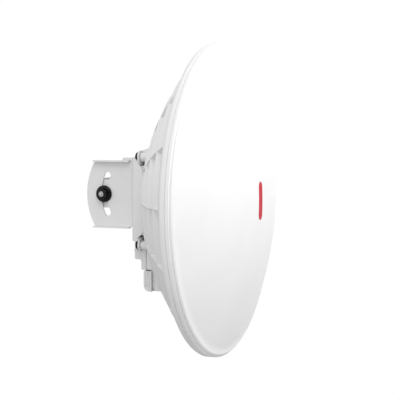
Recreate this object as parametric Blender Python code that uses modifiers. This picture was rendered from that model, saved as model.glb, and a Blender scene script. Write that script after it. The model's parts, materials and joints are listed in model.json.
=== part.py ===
"""Outdoor wireless bridge: a 400 mm dish with radome, electronics housing and a tilting steel mast bracket.

Units are metres, +Z is up and the dish faces -Y. The origin is the centre of the face that meets the mast.
Dish pieces are written in the dish's frame: x across, y the depth behind the rim joint, z above its axis.
"""

import math

import bmesh
import bpy
from mathutils import Matrix, Vector

MM = 0.001

# Places of the frames
RIM_DEPTH = 166.0 * MM          # mast face to the joint between dish lip and radome
TILT_DEPTH = 82.5 * MM          # mast face to the tilt axis
AXIS_DROP = 7.3 * MM            # dish axis below the mast face's centre
GAP = 0.3 * MM                  # between pieces that touch

# Dish and radome
DISH_R = 200.0 * MM
ROUND_STEPS = 48
REFLECTOR_VERTEX = 77.5 * MM
REFLECTOR_CURVE = 2.1           # depth lost per square metre of radius, for a 119 mm focal length
SHELL_T = 2.5 * MM
RIB_VERTEX = 93.9 * MM
RIB_CURVE = 2.3
RIB_T = 1.8 * MM
RIB_COUNT = 16
RIB_END_R = 187.5 * MM
RING_PITCH = 23.0 * MM
RING_OUTER_R = 172.0 * MM
RING_COUNT = 4
LIP_T = 5.0 * MM
SEAT_DEPTH = 3.0 * MM
RADOME_SPHERE_R = 454.0 * MM
RADOME_BULGE = 51.0 * MM
RADOME_T = 2.4 * MM

# Feed on the dish axis
FEED_R = 13.0 * MM
FEED_WALL = 1.6 * MM
FEED_FLANGE_R = 20.0 * MM
FEED_FRONT = -26.0 * MM
SUB_REFLECTOR_R = 31.0 * MM

# Electronics housing behind the dish
HOUSING_HALF = 36.0 * MM
HOUSING_WALL = 2.5 * MM
HOUSING_TOP = 64.0 * MM
SHOULDER_HALF = 44.0 * MM
SHOULDER_BOTTOM = -64.0 * MM
SIDE_WALL_HALF = 51.0 * MM
SIDE_WALL_REAR = 98.0 * MM
SIDE_WALL_END = 44.0 * MM
HOUSING_BOTTOM = -90.0 * MM
TURRET_REAR = 91.0 * MM
CAVITY_FLOOR = 80.5 * MM
POCKET_FLOOR = 74.0 * MM
COVER_FRONT = 92.6 * MM
COVER_REAR = 97.2 * MM
COVER_T = 2.0 * MM
BLOCK_REAR = 107.5 * MM
BLOCK_TOP = -53.0 * MM
BLOCK_BOTTOM = -76.5 * MM
NECK_REAR = 98.6 * MM

# Cable compartment and its sliding door
TRAY_HALF = 33.0 * MM
TRAY_BOTTOM = -117.5 * MM
TRAY_REAR = 81.4 * MM
RAIL_HALF = 31.2 * MM
RAIL_REAR = 87.5 * MM
DOOR_HALF = 35.0 * MM
DOOR_FRONT = 84.6 * MM
DOOR_REAR = 95.7 * MM
DOOR_TOP = -91.5 * MM
DOOR_BOTTOM = -118.2 * MM
DOOR_T = 2.2 * MM
DOOR_CORNER_R = 8.0 * MM
CABLE_WAY_HALF = 8.0 * MM

# Bosses, bracket bolts and back plate
BOLT_X = 45.0 * MM
BOLT_Z = (55.0 * MM, -57.0 * MM)
BOSS_R = 5.8 * MM
EAR_FRONT = 93.5 * MM
SHEET_T = 2.5 * MM
EAR_R = 8.4 * MM
PLATE_FRONT = 100.7 * MM
PLATE_HALF = 55.0 * MM
PLATE_TOP = 55.1 * MM
PLATE_BOTTOM = -51.3 * MM
LIP_FRONT = 87.8 * MM
RISER_Z = (47.3 * MM, -49.3 * MM)

# Wing channel, which tilts on the mast bracket
WING_HALF = 45.0 * MM
WING_T = 2.0 * MM
WING_FRONT = 103.5 * MM
WING_HALF_HEIGHT = 43.4 * MM
WING_ARC_R = 86.4 * MM
FLANGE_EDGE = 52.5 * MM
FLANGE_REAR = 158.5 * MM
SLOT_R = 62.0 * MM
SLOT_WIDTH = 8.3 * MM
SLOT_HALF_ANGLE = math.radians(26.5)
RIVET_X = 28.0 * MM
RIVET_Z = (38.0 * MM, -24.0 * MM)

# Mast bracket, in the mast face's frame
BRACKET_HALF = 42.4 * MM
BRACKET_HALF_HEIGHT = 18.0 * MM
BRACKET_LENGTH = 41.0 * MM
BAND_SLOT_X = 24.0 * MM
BAND_SLOT = (6.4 * MM, 22.0 * MM)
KEY_HALF_ANGLE = math.radians(5.6)
KEY_HALF_WIDTH = 3.3 * MM
LOCK_Y = SLOT_R - TILT_DEPTH
LOCK_HOLE_R = 4.3 * MM
LOCK_SHANK_R = 3.9 * MM

WHITE = (0.86, 0.86, 0.87, 1.0)
PAINTED_STEEL = (0.80, 0.80, 0.81, 1.0)
BLACK = (0.02, 0.02, 0.022, 1.0)
STEEL = (0.62, 0.62, 0.63, 1.0)
BRASS = (0.75, 0.58, 0.28, 1.0)
RUBBER = (0.05, 0.05, 0.05, 1.0)
BOARD_GREEN = (0.03, 0.16, 0.07, 1.0)
CLEAR = (0.85, 0.9, 0.88, 1.0)
GREY_PAD = (0.45, 0.47, 0.50, 1.0)
CREAM = (0.80, 0.78, 0.70, 1.0)

REAR = Vector((0.0, 1.0, 0.0))
DOWN = Vector((0.0, 0.0, -1.0))
UP = Vector((0.0, 0.0, 1.0))


def start():
    """Empties the scene and makes the two collections."""
    for old in list(bpy.data.objects):
        bpy.data.objects.remove(old, do_unlink=True)
    parts = bpy.data.collections.new("outdoor_wireless_bridge")
    cutters = bpy.data.collections.new("cutters")
    bpy.context.scene.collection.children.link(parts)
    bpy.context.scene.collection.children.link(cutters)
    return parts, cutters


PARTS, CUTTERS = start()


def empty(name, location, parent=None):
    obj = bpy.data.objects.new(name, None)
    obj.location = location
    obj.parent = parent
    PARTS.objects.link(obj)
    return obj


TILT_AXIS = empty("tilt_axis", (0.0, -TILT_DEPTH, 0.0))
DISH_FRAME = empty("dish_frame", (0.0, TILT_DEPTH - RIM_DEPTH, -AXIS_DROP), TILT_AXIS)
TILT_CENTRE = Vector((0.0, RIM_DEPTH - TILT_DEPTH, AXIS_DROP))


def material(name, colour, roughness, metallic=0.0):
    made = bpy.data.materials.new(name)
    made.use_nodes = True
    shader = made.node_tree.nodes["Principled BSDF"]
    shader.inputs["Base Color"].default_value = colour
    shader.inputs["Roughness"].default_value = roughness
    shader.inputs["Metallic"].default_value = metallic
    return made


def finish_part(obj, colour, roughness=0.5, metallic=0.0, parent=None):
    """Gives the piece its own material and its parent, and shades round faces smooth."""
    obj.data.materials.append(material(obj.name, colour, roughness, metallic))
    obj.data.shade_smooth()
    obj.data.set_sharp_from_angle(angle=math.radians(35.0))
    obj.parent = parent
    return obj


def as_cutter(obj, parent=None):
    """Moves an object to the cutters, where only Boolean modifiers see it."""
    for held in list(obj.users_collection):
        held.objects.unlink(obj)
    CUTTERS.objects.link(obj)
    obj.hide_render = True
    obj.display_type = "WIRE"
    obj.parent = parent
    return obj


def from_bmesh(name, shape):
    mesh = bpy.data.meshes.new(name)
    shape.to_mesh(mesh)
    shape.free()
    obj = bpy.data.objects.new(name, mesh)
    PARTS.objects.link(obj)
    return obj


def box(name, low, high):
    """A box between two corners."""
    low, high = Vector(low), Vector(high)
    size = high - low
    shape = bmesh.new()
    place = Matrix.Translation((low + high) / 2) @ Matrix.Diagonal((*size, 1.0))
    bmesh.ops.create_cube(shape, size=1.0, matrix=place)
    return from_bmesh(name, shape)


def prism(name, radius, origin, direction, length, sides=16):
    """A cylinder, or a hexagonal prism with six sides, that starts at origin and runs along direction."""
    shape = bmesh.new()
    turn = UP.rotation_difference(direction).to_matrix().to_4x4()
    place = Matrix.Translation(Vector(origin)) @ turn @ Matrix.Translation((0.0, 0.0, length / 2))
    bmesh.ops.create_cone(
        shape, cap_ends=True, segments=sides, radius1=radius, radius2=radius, depth=length, matrix=place
    )
    return from_bmesh(name, shape)


def turned(name, profile, origin=(0.0, 0.0, 0.0), direction=REAR, steps=16, ring=False):
    """A turned solid. The profile holds (radius, distance along direction), and its outer side runs forward."""
    mesh = bpy.data.meshes.new(name)
    edges = [(i, i + 1) for i in range(len(profile) - 1)]
    if ring:
        edges.append((len(profile) - 1, 0))
    mesh.from_pydata([(radius, 0.0, -along) for radius, along in profile], edges, [])
    obj = bpy.data.objects.new(name, mesh)
    obj.location = origin
    obj.rotation_mode = "QUATERNION"
    obj.rotation_quaternion = DOWN.rotation_difference(direction)
    PARTS.objects.link(obj)
    screw = obj.modifiers.new("turn", "SCREW")
    screw.axis = "Z"
    screw.steps = steps
    screw.render_steps = steps
    screw.use_merge_vertices = True
    screw.merge_threshold = 0.01 * MM
    screw.use_smooth_shade = True
    return obj


def plate(name, outlines, middle, half_thickness):
    """A flat plate in the YZ plane, with holes where inner outlines are given, centred at x = middle."""
    curve = bpy.data.curves.new(name, "CURVE")
    curve.dimensions = "2D"
    curve.fill_mode = "BOTH"
    curve.extrude = half_thickness
    for outline in outlines:
        spline = curve.splines.new("POLY")
        spline.points.add(len(outline) - 1)
        for point, (y, z) in zip(spline.points, outline):
            point.co = (y, z, 0.0, 1.0)
        spline.use_cyclic_u = True
    drawn = bpy.data.objects.new(name + "_outline", curve)
    PARTS.objects.link(drawn)
    graph = bpy.context.evaluated_depsgraph_get()
    mesh = bpy.data.meshes.new_from_object(drawn.evaluated_get(graph))
    bpy.data.objects.remove(drawn, do_unlink=True)
    shape = bmesh.new()
    shape.from_mesh(mesh)
    bmesh.ops.remove_doubles(shape, verts=shape.verts, dist=0.001 * MM)
    stand = Matrix(((0, 0, 1, middle), (1, 0, 0, 0), (0, 1, 0, 0), (0, 0, 0, 1)))
    bmesh.ops.transform(shape, matrix=stand, verts=shape.verts)
    bmesh.ops.recalc_face_normals(shape, faces=shape.faces)
    bpy.data.meshes.remove(mesh)
    return from_bmesh(name, shape)


def arc(centre, radius, first, last, count):
    """Points on an arc in the YZ plane, from one angle to another, measured from +Y towards +Z."""
    y, z = centre
    angles = [first + (last - first) * i / count for i in range(count + 1)]
    return [(y + radius * math.cos(a), z + radius * math.sin(a)) for a in angles]


def arc_slot(centre, radius, half_angle, width):
    """The outline of a slot along an arc, with round ends."""
    half = width / 2
    y, z = centre
    upper = (y + radius * math.cos(half_angle), z + radius * math.sin(half_angle))
    lower = (y + radius * math.cos(half_angle), z - radius * math.sin(half_angle))
    return (
        arc(centre, radius + half, -half_angle, half_angle, 10)
        + arc(upper, half, half_angle, half_angle + math.pi, 6)[1:-1]
        + arc(centre, radius - half, half_angle, -half_angle, 10)
        + arc(lower, half, math.pi - half_angle, 2 * math.pi - half_angle, 6)[1:-1]
    )


def combine(obj, operation, others):
    """Joins or cuts with each of the other objects in turn."""
    for other in others:
        step = obj.modifiers.new(other.name, "BOOLEAN")
        step.operation = operation
        step.solver = "EXACT"
        step.object = other
        as_cutter(other, other.parent)
    return obj


def combine_all(obj, operation, name, others):
    """Joins or cuts with a whole group at once."""
    group = bpy.data.collections.new(name)
    CUTTERS.children.link(group)
    group.hide_render = True
    for other in others:
        as_cutter(other, other.parent)
        group.objects.link(other)
    step = obj.modifiers.new(name, "BOOLEAN")
    step.operation = operation
    step.solver = "EXACT"
    step.operand_type = "COLLECTION"
    step.collection = group
    return obj


def under_dish(objects):
    """Places cutters in the dish's frame."""
    for obj in objects:
        obj.parent = DISH_FRAME
    return objects


def reflector_depth(radius):
    return REFLECTOR_VERTEX - REFLECTOR_CURVE * radius * radius


def rib_depth(radius):
    return RIB_VERTEX - RIB_CURVE * radius * radius


def spread(first, last, count):
    return [first + (last - first) * i / count for i in range(count + 1)]


def bolt_places():
    """The four bracket bolts, numbered from the upper left."""
    return [(x, z) for z in BOLT_Z for x in (-BOLT_X, BOLT_X)]


# ---------------------------------------------------------------- dish


def dish_shell():
    """The paraboloid with its stiff lip, as one turned ring around the feed's hole."""
    hole = FEED_R + 0.6 * MM
    shell_end = 180.0 * MM
    lip = [
        (DISH_R, 0.0),
        (DISH_R, LIP_T),
        (198.0 * MM, 7.0 * MM),
        (182.0 * MM, 14.5 * MM),
    ]
    rear = [(r, reflector_depth(r) + SHELL_T) for r in spread(shell_end, hole, 8)]
    front = [(r, reflector_depth(r)) for r in spread(hole, shell_end, 8)]
    seat = [
        (189.5 * MM, 8.0 * MM),
        (190.0 * MM, SEAT_DEPTH),
        (196.5 * MM, SEAT_DEPTH),
        (196.5 * MM, 0.0),
    ]
    return turned("reflector_dish", lip + rear + front + seat, steps=ROUND_STEPS, ring=True)


def rib_start(angle):
    """The radius at which a rib at this angle reaches the middle of the housing's wall, or of the tray's."""
    if math.sin(angle) < -0.99:
        return -TRAY_BOTTOM - HOUSING_WALL / 2
    across, up = abs(math.cos(angle)), abs(math.sin(angle))
    meets_side_wall = up < 0.5
    passes_under_shoulder = math.sin(angle) < -0.8
    half = SIDE_WALL_HALF if meets_side_wall else HOUSING_HALF if passes_under_shoulder else SHOULDER_HALF
    side = half - HOUSING_WALL / 2
    end = HOUSING_TOP - HOUSING_WALL / 2 if math.sin(angle) > 0.0 else -HOUSING_BOTTOM - HOUSING_WALL / 2
    return min(side / max(across, 0.01), end / max(up, 0.01))


def radial_rib(index):
    """One upright rib, from the housing out to the lip."""
    angle = 2 * math.pi * index / RIB_COUNT
    radii = spread(rib_start(angle), RIB_END_R, 6)
    crest = [(r, rib_depth(r)) for r in radii]
    root = [(r, reflector_depth(r) + SHELL_T / 2) for r in radii if r < 176.0 * MM]
    outline = crest + [(RIB_END_R, 9.0 * MM), (183.0 * MM, 10.0 * MM)] + root[::-1]
    rib = plate(f"radial_rib_{index}", [outline], 0.0, RIB_T / 2)
    # The plate's y is the radius here, so it is laid along +X before it is turned to its place.
    lay = Matrix(((0, 1, 0, 0), (0, 0, 1, 0), (-1, 0, 0, 0), (0, 0, 0, 1)))
    rib.data.transform(lay)
    rib.rotation_euler = (0.0, -angle, 0.0)
    return rib


def ring_rib(index):
    """One round rib; they are evenly spaced from the outside in."""
    middle = RING_OUTER_R - index * RING_PITCH
    inner, outer = middle - RIB_T / 2, middle + RIB_T / 2
    profile = [
        (outer, reflector_depth(outer) + SHELL_T / 2),
        (outer, rib_depth(middle)),
        (inner, rib_depth(middle)),
        (inner, reflector_depth(inner) + SHELL_T / 2),
    ]
    return turned(f"ring_rib_{index}", profile, steps=ROUND_STEPS, ring=True)


def turret(name, half, bottom, rear, top):
    """A solid block of the electronics housing, with its top sloping towards the shell."""
    draft = 8.0 * MM
    block = box(name, (-half, 55.0 * MM, bottom), (half, rear, top))
    for corner in block.data.vertices:
        if corner.co.y < 60.0 * MM and corner.co.z > 0.0:
            corner.co.z += draft
    return block


def trimmed_to_shell(obj):
    """Cuts away what would reach through the reflecting face."""
    reach = 150.0 * MM
    half_shell = SHELL_T / 2
    face = [(r, reflector_depth(r) + half_shell) for r in spread(reach, 0.0, 10)]
    bowl = turned("bowl_" + obj.name, [(0.0, -20.0 * MM), (reach, -20.0 * MM)] + face, steps=ROUND_STEPS)
    return combine(obj, "DIFFERENCE", under_dish([bowl]))


def boss(index, x, z):
    """A round post for a bracket bolt, with a blind hole for its insert."""
    foot = reflector_depth(math.hypot(x, z)) + SHELL_T / 2
    top, bottom, hole_r = EAR_FRONT - GAP, 79.0 * MM, 4.1 * MM
    profile = [(0.0, foot), (BOSS_R, foot), (BOSS_R, top), (hole_r, top), (hole_r, bottom), (0.0, bottom)]
    return turned(f"boss_{index}", profile, (x, 0.0, z), steps=16)


def cover_post_places():
    return [(x, z) for z in (56.0 * MM, -66.0 * MM) for x in (-29.0 * MM, 29.0 * MM)]


def board_post_places():
    return [(x, z) for z in (47.0 * MM, -40.0 * MM) for x in (-19.0 * MM, 19.0 * MM)]


def screw_post(name, x, z, foot, top, radius, hole_r, hole_end):
    """A screw post with a blind hole, standing on the housing's floor."""
    profile = [(0.0, foot), (radius, foot), (radius, top), (hole_r, top), (hole_r, hole_end), (0.0, hole_end)]
    return turned(name, profile, (x, 0.0, z), steps=12)


def housing_posts():
    posts = []
    for i, (x, z) in enumerate(cover_post_places()):
        foot = (CAVITY_FLOOR if z > 0.0 else POCKET_FLOOR) - 1.0 * MM
        posts.append(screw_post(f"cover_post_{i}", x, z, foot, TURRET_REAR, 3.6 * MM, 1.8 * MM, 82.0 * MM))
    for i, (x, z) in enumerate(board_post_places()):
        foot = CAVITY_FLOOR - 0.7 * MM
        posts.append(screw_post(f"board_post_{i}", x, z, foot, 83.8 * MM, 2.8 * MM, 1.3 * MM, 81.2 * MM))
    return posts


def side_walls():
    """The blocks beside the housing that reach back inside the bracket plate's lips."""
    end = SIDE_WALL_END
    low, high = (39.0 * MM, 60.0 * MM, -end), (SIDE_WALL_HALF, SIDE_WALL_REAR, end)
    return mirrored_pair("side_wall", low, high)


def side_pockets():
    """Two pockets, open to the rear, that leave the side blocks as thin walls."""
    end = SIDE_WALL_END - HOUSING_WALL
    far = SIDE_WALL_HALF - HOUSING_WALL
    return mirrored_pair("side_pocket", (38.0 * MM, 76.0 * MM, -end), (far, SIDE_WALL_REAR + 5.0 * MM, end))


def housing_cuts():
    """The cavity, the cable compartment, and the holes between them."""
    inner = HOUSING_HALF - HOUSING_WALL
    past = 120.0 * MM
    under = HOUSING_BOTTOM - 6.0 * MM
    cuts = [
        box("cavity", (-inner, CAVITY_FLOOR, -59.0 * MM), (inner, past, HOUSING_TOP - HOUSING_WALL)),
        box(
            "pocket",
            (0.1 * MM - inner, POCKET_FLOOR, HOUSING_BOTTOM + HOUSING_WALL),
            (inner - 0.1 * MM, past - MM, -57.0 * MM),
        ),
        box(
            "compartment",
            (2.5 * MM - RAIL_HALF, 66.0 * MM, TRAY_BOTTOM + 4.8 * MM),
            (RAIL_HALF - 2.5 * MM, past, HOUSING_BOTTOM - HOUSING_WALL),
        ),
        box(
            "cable_way",
            (-CABLE_WAY_HALF, POCKET_FLOOR, -140.0 * MM),
            (CABLE_WAY_HALF, past, TRAY_BOTTOM + 10.0 * MM),
        ),
        box("jack_hole", (-8.4 * MM, 76.0 * MM, under), (8.4 * MM, 88.8 * MM, HOUSING_BOTTOM + 5.0 * MM)),
        prism("feed_hole", FEED_R + 0.6 * MM, (0.0, 60.0 * MM, 0.0), REAR, 40.0 * MM, ROUND_STEPS),
        prism("button_hole", 2.1 * MM, (20.0 * MM, 83.0 * MM, under), UP, 15.0 * MM),
        prism("light_hole", 1.9 * MM, (-20.0 * MM, 83.0 * MM, under), UP, 15.0 * MM),
    ]
    bores = [prism("bore", 5.0 * MM, (x, 78.0 * MM, z), REAR, 30.0 * MM, 16) for x, z in bolt_places()]
    return cuts + side_pockets() + bores


def housing():
    """The turret, the cable tray and its rail, hollowed out and trimmed where they enter the shell."""
    shared_top = HOUSING_BOTTOM + 1.0 * MM
    base = turret("turret", HOUSING_HALF, HOUSING_BOTTOM, TURRET_REAR, HOUSING_TOP + 1.5 * MM)
    shoulders = turret("shoulders", SHOULDER_HALF, SHOULDER_BOTTOM, TURRET_REAR - 1.0 * MM, HOUSING_TOP)
    tray = box("tray", (-TRAY_HALF, 40.0 * MM, TRAY_BOTTOM), (TRAY_HALF, TRAY_REAR, shared_top))
    rail_low = (-RAIL_HALF, 70.0 * MM, TRAY_BOTTOM + 2.3 * MM)
    rail = box("rail", rail_low, (RAIL_HALF, RAIL_REAR, shared_top + 0.3 * MM))
    combine(base, "UNION", under_dish([shoulders, tray, rail] + side_walls()))
    combine(base, "DIFFERENCE", under_dish(housing_cuts()))
    return trimmed_to_shell(base)


def make_dish():
    """The dish is one moulding: shell, ribs, housing, posts and bosses."""
    moulded = [radial_rib(i) for i in range(RIB_COUNT)]
    moulded += [ring_rib(i) for i in range(RING_COUNT)]
    moulded += [boss(i, x, z) for i, (x, z) in enumerate(bolt_places())]
    moulded += [housing()] + housing_posts()
    dish = combine_all(dish_shell(), "UNION", "dish_mouldings", under_dish(moulded))
    finish_part(dish, WHITE, 0.45, parent=DISH_FRAME)


def make_radome():
    """The bulged cover, with a groove and a skirt around its edge and a spigot that enters the lip."""
    centre = RADOME_SPHERE_R - RADOME_BULGE
    inner_sphere = RADOME_SPHERE_R - RADOME_T

    def dome(radius, sphere):
        return centre - math.sqrt(sphere * sphere - radius * radius)

    outside = [(r, dome(r, RADOME_SPHERE_R)) for r in spread(0.0, 191.0 * MM, 8)]
    bead = [
        (195.0 * MM, -8.1 * MM),
        (197.4 * MM, -7.0 * MM),
        (197.2 * MM, -6.0 * MM),
        (198.6 * MM, -5.4 * MM),
        (DISH_R, -4.6 * MM),
        (DISH_R, -GAP),
    ]
    spigot = [
        (196.2 * MM, -GAP),
        (196.2 * MM, 0.7 * MM),
        (190.6 * MM, 0.7 * MM),
    ]
    inside = [(r, dome(r, inner_sphere)) for r in spread(190.6 * MM, 0.0, 6)]
    radome = turned("radome", outside + bead + spigot + inside, steps=ROUND_STEPS)
    finish_part(radome, WHITE, 0.35, parent=DISH_FRAME)


def make_rim_gasket():
    profile = [
        (196.1 * MM, 1.0 * MM),
        (196.1 * MM, SEAT_DEPTH - GAP),
        (191.5 * MM, SEAT_DEPTH - GAP),
        (191.5 * MM, 1.0 * MM),
    ]
    gasket = turned("rim_gasket", profile, steps=ROUND_STEPS, ring=True)
    finish_part(gasket, RUBBER, 0.8, parent=DISH_FRAME)


# ---------------------------------------------------------------- feed


def make_feed():
    """A flanged tube on the axis, its seal, the cup on its end and the small reflector in front."""
    seat = CAVITY_FLOOR + GAP
    bore = FEED_R - FEED_WALL
    tube = [
        (FEED_R, FEED_FRONT),
        (FEED_R, seat),
        (14.8 * MM, seat),
        (14.8 * MM, seat + 1.2 * MM),
        (18.2 * MM, seat + 1.2 * MM),
        (18.2 * MM, seat),
        (FEED_FLANGE_R, seat),
        (FEED_FLANGE_R, seat + 2.8 * MM),
        (bore, seat + 2.8 * MM),
        (bore, FEED_FRONT),
    ]
    finish_part(turned("feed_tube", tube, steps=24, ring=True), STEEL, 0.4, 1.0, DISH_FRAME)
    seal = [(17.9 * MM, seat), (17.9 * MM, seat + 0.9 * MM), (15.1 * MM, seat + 0.9 * MM), (15.1 * MM, seat)]
    finish_part(turned("feed_seal", seal, steps=24, ring=True), RUBBER, 0.8, parent=DISH_FRAME)
    neck = bore - GAP
    cup = [
        (0.0, FEED_FRONT - 10.0 * MM),
        (24.0 * MM, FEED_FRONT - 10.0 * MM),
        (FEED_R, FEED_FRONT - 1.0 * MM),
        (neck, FEED_FRONT - 1.0 * MM),
        (neck, FEED_FRONT + 14.0 * MM),
        (0.0, FEED_FRONT + 14.0 * MM),
    ]
    finish_part(turned("feed_cup", cup, steps=24), CREAM, 0.5, parent=DISH_FRAME)
    front = FEED_FRONT - 12.6 * MM
    disc = [
        (0.0, front),
        (SUB_REFLECTOR_R, front),
        (SUB_REFLECTOR_R, front + 5.0 * MM),
        (SUB_REFLECTOR_R - 1.5 * MM, front + 5.0 * MM),
        (25.0 * MM, front + 2.0 * MM),
        (0.0, front + 2.0 * MM),
    ]
    finish_part(turned("sub_reflector", disc, steps=24), STEEL, 0.3, 1.0, DISH_FRAME)


# ---------------------------------------------------------------- housing


def cover_outline(inset):
    """The side view of the rear cover; its inner face is the same outline moved in by the wall."""
    front = COVER_FRONT - (5.0 * MM if inset else 0.0)
    return [
        (front, HOUSING_TOP + 0.9 * MM - inset),
        (COVER_REAR - inset, HOUSING_TOP - 0.3 * MM - inset),
        (COVER_REAR - inset, BLOCK_TOP + 0.8 * MM - inset),
        (BLOCK_REAR - inset, BLOCK_TOP - inset),
        (BLOCK_REAR - inset, BLOCK_BOTTOM + inset),
        (NECK_REAR - inset, BLOCK_BOTTOM - 0.6 * MM + inset),
        (NECK_REAR - inset, HOUSING_BOTTOM + inset),
        (front, HOUSING_BOTTOM + inset),
    ]


def make_cover():
    cover = plate("rear_cover", [cover_outline(0.0)], 0.0, HOUSING_HALF)
    hollow = plate("cover_hollow", [cover_outline(COVER_T)], 0.0, HOUSING_HALF - COVER_T)
    combine(cover, "DIFFERENCE", under_dish([hollow]))
    sleeves, holes = [], []
    for i, (x, z) in enumerate(cover_post_places()):
        rear = (COVER_REAR if z > 0.0 else BLOCK_REAR) - 1.0 * MM
        sleeves.append(prism(f"sleeve_{i}", 3.6 * MM, (x, COVER_FRONT, z), REAR, rear - COVER_FRONT, 12))
        holes.append(prism(f"sleeve_hole_{i}", 1.8 * MM, (x, 85.0 * MM, z), REAR, 40.0 * MM, 12))
    combine_all(cover, "UNION", "cover_sleeves", under_dish(sleeves))
    combine_all(cover, "DIFFERENCE", "cover_holes", under_dish(holes))
    finish_part(cover, WHITE, 0.45, parent=DISH_FRAME)


def make_cover_gasket():
    """A flat rubber frame between the housing wall and the cover."""
    half = HOUSING_HALF - 0.4 * MM
    inner = HOUSING_HALF - HOUSING_WALL + 0.3 * MM
    front, rear = TURRET_REAR + GAP, COVER_FRONT - GAP
    top, bottom = HOUSING_TOP + 0.4 * MM, HOUSING_BOTTOM + 0.4 * MM
    gasket = box("cover_gasket", (-half, front, bottom), (half, rear, top))
    window = box(
        "gasket_window",
        (-inner, front - 1.0 * MM, HOUSING_BOTTOM + HOUSING_WALL - 0.3 * MM),
        (inner, rear + 1.0 * MM, HOUSING_TOP - HOUSING_WALL + 0.3 * MM),
    )
    combine(gasket, "DIFFERENCE", under_dish([window]))
    finish_part(gasket, RUBBER, 0.8, parent=DISH_FRAME)


def pan_screw(name, x, z, seat, tip, head_r, shank_r, head_t=2.0 * MM):
    """A screw whose head stands on the plane y = seat."""
    profile = [
        (0.0, tip),
        (shank_r, tip),
        (shank_r, seat),
        (head_r, seat),
        (head_r, seat + head_t * 0.6),
        (head_r * 0.7, seat + head_t),
        (0.0, seat + head_t),
    ]
    screw = turned(name, profile, (x, 0.0, z), steps=12)
    return finish_part(screw, STEEL, 0.35, 1.0, DISH_FRAME)


def make_cover_screws():
    for i, (x, z) in enumerate(cover_post_places()):
        seat = (COVER_REAR if z > 0.0 else BLOCK_REAR) + GAP
        pan_screw(f"cover_screw_{i + 1}", x, z, seat, 83.0 * MM, 3.1 * MM, 1.45 * MM)


def make_board():
    """The circuit board with its screws, shield, thermal pad, jack, light pipe and reset button."""
    front = 84.2 * MM
    rear = front + 1.6 * MM
    board = box("circuit_board", (-24.0 * MM, front, -69.5 * MM), (24.0 * MM, rear, 54.0 * MM))
    holes = []
    for i, (x, z) in enumerate(board_post_places()):
        holes.append(prism(f"board_hole_{i}", 1.4 * MM, (x, front - 5.0 * MM, z), REAR, 10.0 * MM, 12))
        pan_screw(f"board_screw_{i + 1}", x, z, rear + GAP, 82.0 * MM, 2.3 * MM, 1.0 * MM, 1.5 * MM)
    combine_all(board, "DIFFERENCE", "board_holes", under_dish(holes))
    finish_part(board, BOARD_GREEN, 0.5, parent=DISH_FRAME)

    shield = box("rf_shield", (-15.0 * MM, rear + GAP, -20.0 * MM), (15.0 * MM, 89.9 * MM, 20.0 * MM))
    inside = box("shield_hollow", (-14.4 * MM, rear - 1.0 * MM, -19.4 * MM), (14.4 * MM, 89.3 * MM, 19.4 * MM))
    combine(shield, "DIFFERENCE", under_dish([inside]))
    finish_part(shield, STEEL, 0.3, 1.0, DISH_FRAME)

    pad = box("thermal_pad", (-12.0 * MM, 90.2 * MM, -15.0 * MM), (12.0 * MM, 94.9 * MM, 15.0 * MM))
    finish_part(pad, GREY_PAD, 0.9, parent=DISH_FRAME)

    jack = box("ethernet_jack", (-8.0 * MM, 76.4 * MM, -89.6 * MM), (8.0 * MM, 88.4 * MM, -70.5 * MM))
    mouth = box("jack_mouth", (-6.0 * MM, 78.6 * MM, -95.0 * MM), (6.0 * MM, 86.5 * MM, -76.0 * MM))
    combine(jack, "DIFFERENCE", under_dish([mouth]))
    finish_part(jack, STEEL, 0.35, 1.0, DISH_FRAME)

    pipe = [(0.0, 0.0), (1.5 * MM, 0.0), (1.5 * MM, 11.6 * MM), (0.0, 11.6 * MM)]
    light = turned("light_pipe", pipe, (-20.0 * MM, 83.0 * MM, -92.8 * MM), UP, 12)
    finish_part(light, CLEAR, 0.1, parent=DISH_FRAME)

    button = [
        (0.0, 0.0),
        (1.7 * MM, 0.0),
        (1.7 * MM, 4.4 * MM),
        (2.9 * MM, 4.4 * MM),
        (2.9 * MM, 5.4 * MM),
        (1.2 * MM, 5.4 * MM),
        (1.2 * MM, 8.0 * MM),
        (0.0, 8.0 * MM),
    ]
    press = turned("reset_button", button, (20.0 * MM, 83.0 * MM, -91.6 * MM), UP, 12)
    finish_part(press, BLACK, 0.5, parent=DISH_FRAME)


def make_cable_door():
    """A cap that slides down off the cable compartment; its lower rear edge is round."""
    turn_y, turn_z = DOOR_REAR - DOOR_CORNER_R, DOOR_BOTTOM + DOOR_CORNER_R
    corner = arc((turn_y, turn_z), DOOR_CORNER_R, -math.pi / 2, 0.0, 5)
    outline = [(DOOR_FRONT, DOOR_BOTTOM)] + corner + [(DOOR_REAR, DOOR_TOP), (DOOR_FRONT, DOOR_TOP)]
    door = plate("cable_door", [outline], 0.0, DOOR_HALF)
    inner_corner = arc((turn_y, turn_z), DOOR_CORNER_R - DOOR_T, -math.pi / 2, 0.0, 5)
    above, ahead = DOOR_TOP + 10.0 * MM, DOOR_FRONT - 10.0 * MM
    hollow_line = [(ahead, DOOR_BOTTOM + DOOR_T)] + inner_corner + [(DOOR_REAR - DOOR_T, above), (ahead, above)]
    hollow = plate("door_hollow", [hollow_line], 0.0, DOOR_HALF - DOOR_T)
    notch = box(
        "door_notch",
        (-CABLE_WAY_HALF, ahead, DOOR_BOTTOM - 5.0 * MM),
        (CABLE_WAY_HALF, DOOR_REAR - DOOR_CORNER_R, DOOR_BOTTOM + 8.0 * MM),
    )
    combine(door, "DIFFERENCE", under_dish([hollow, notch]))
    finish_part(door, WHITE, 0.45, parent=DISH_FRAME)


# ---------------------------------------------------------------- steel parts


def mirrored_pair(name, low, high):
    """Two equal boxes, on the left and on the right."""
    right = box(name + "_right", low, high)
    left = box(name + "_left", (-high[0], low[1], low[2]), (-low[0], high[1], high[2]))
    return [left, right]


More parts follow.
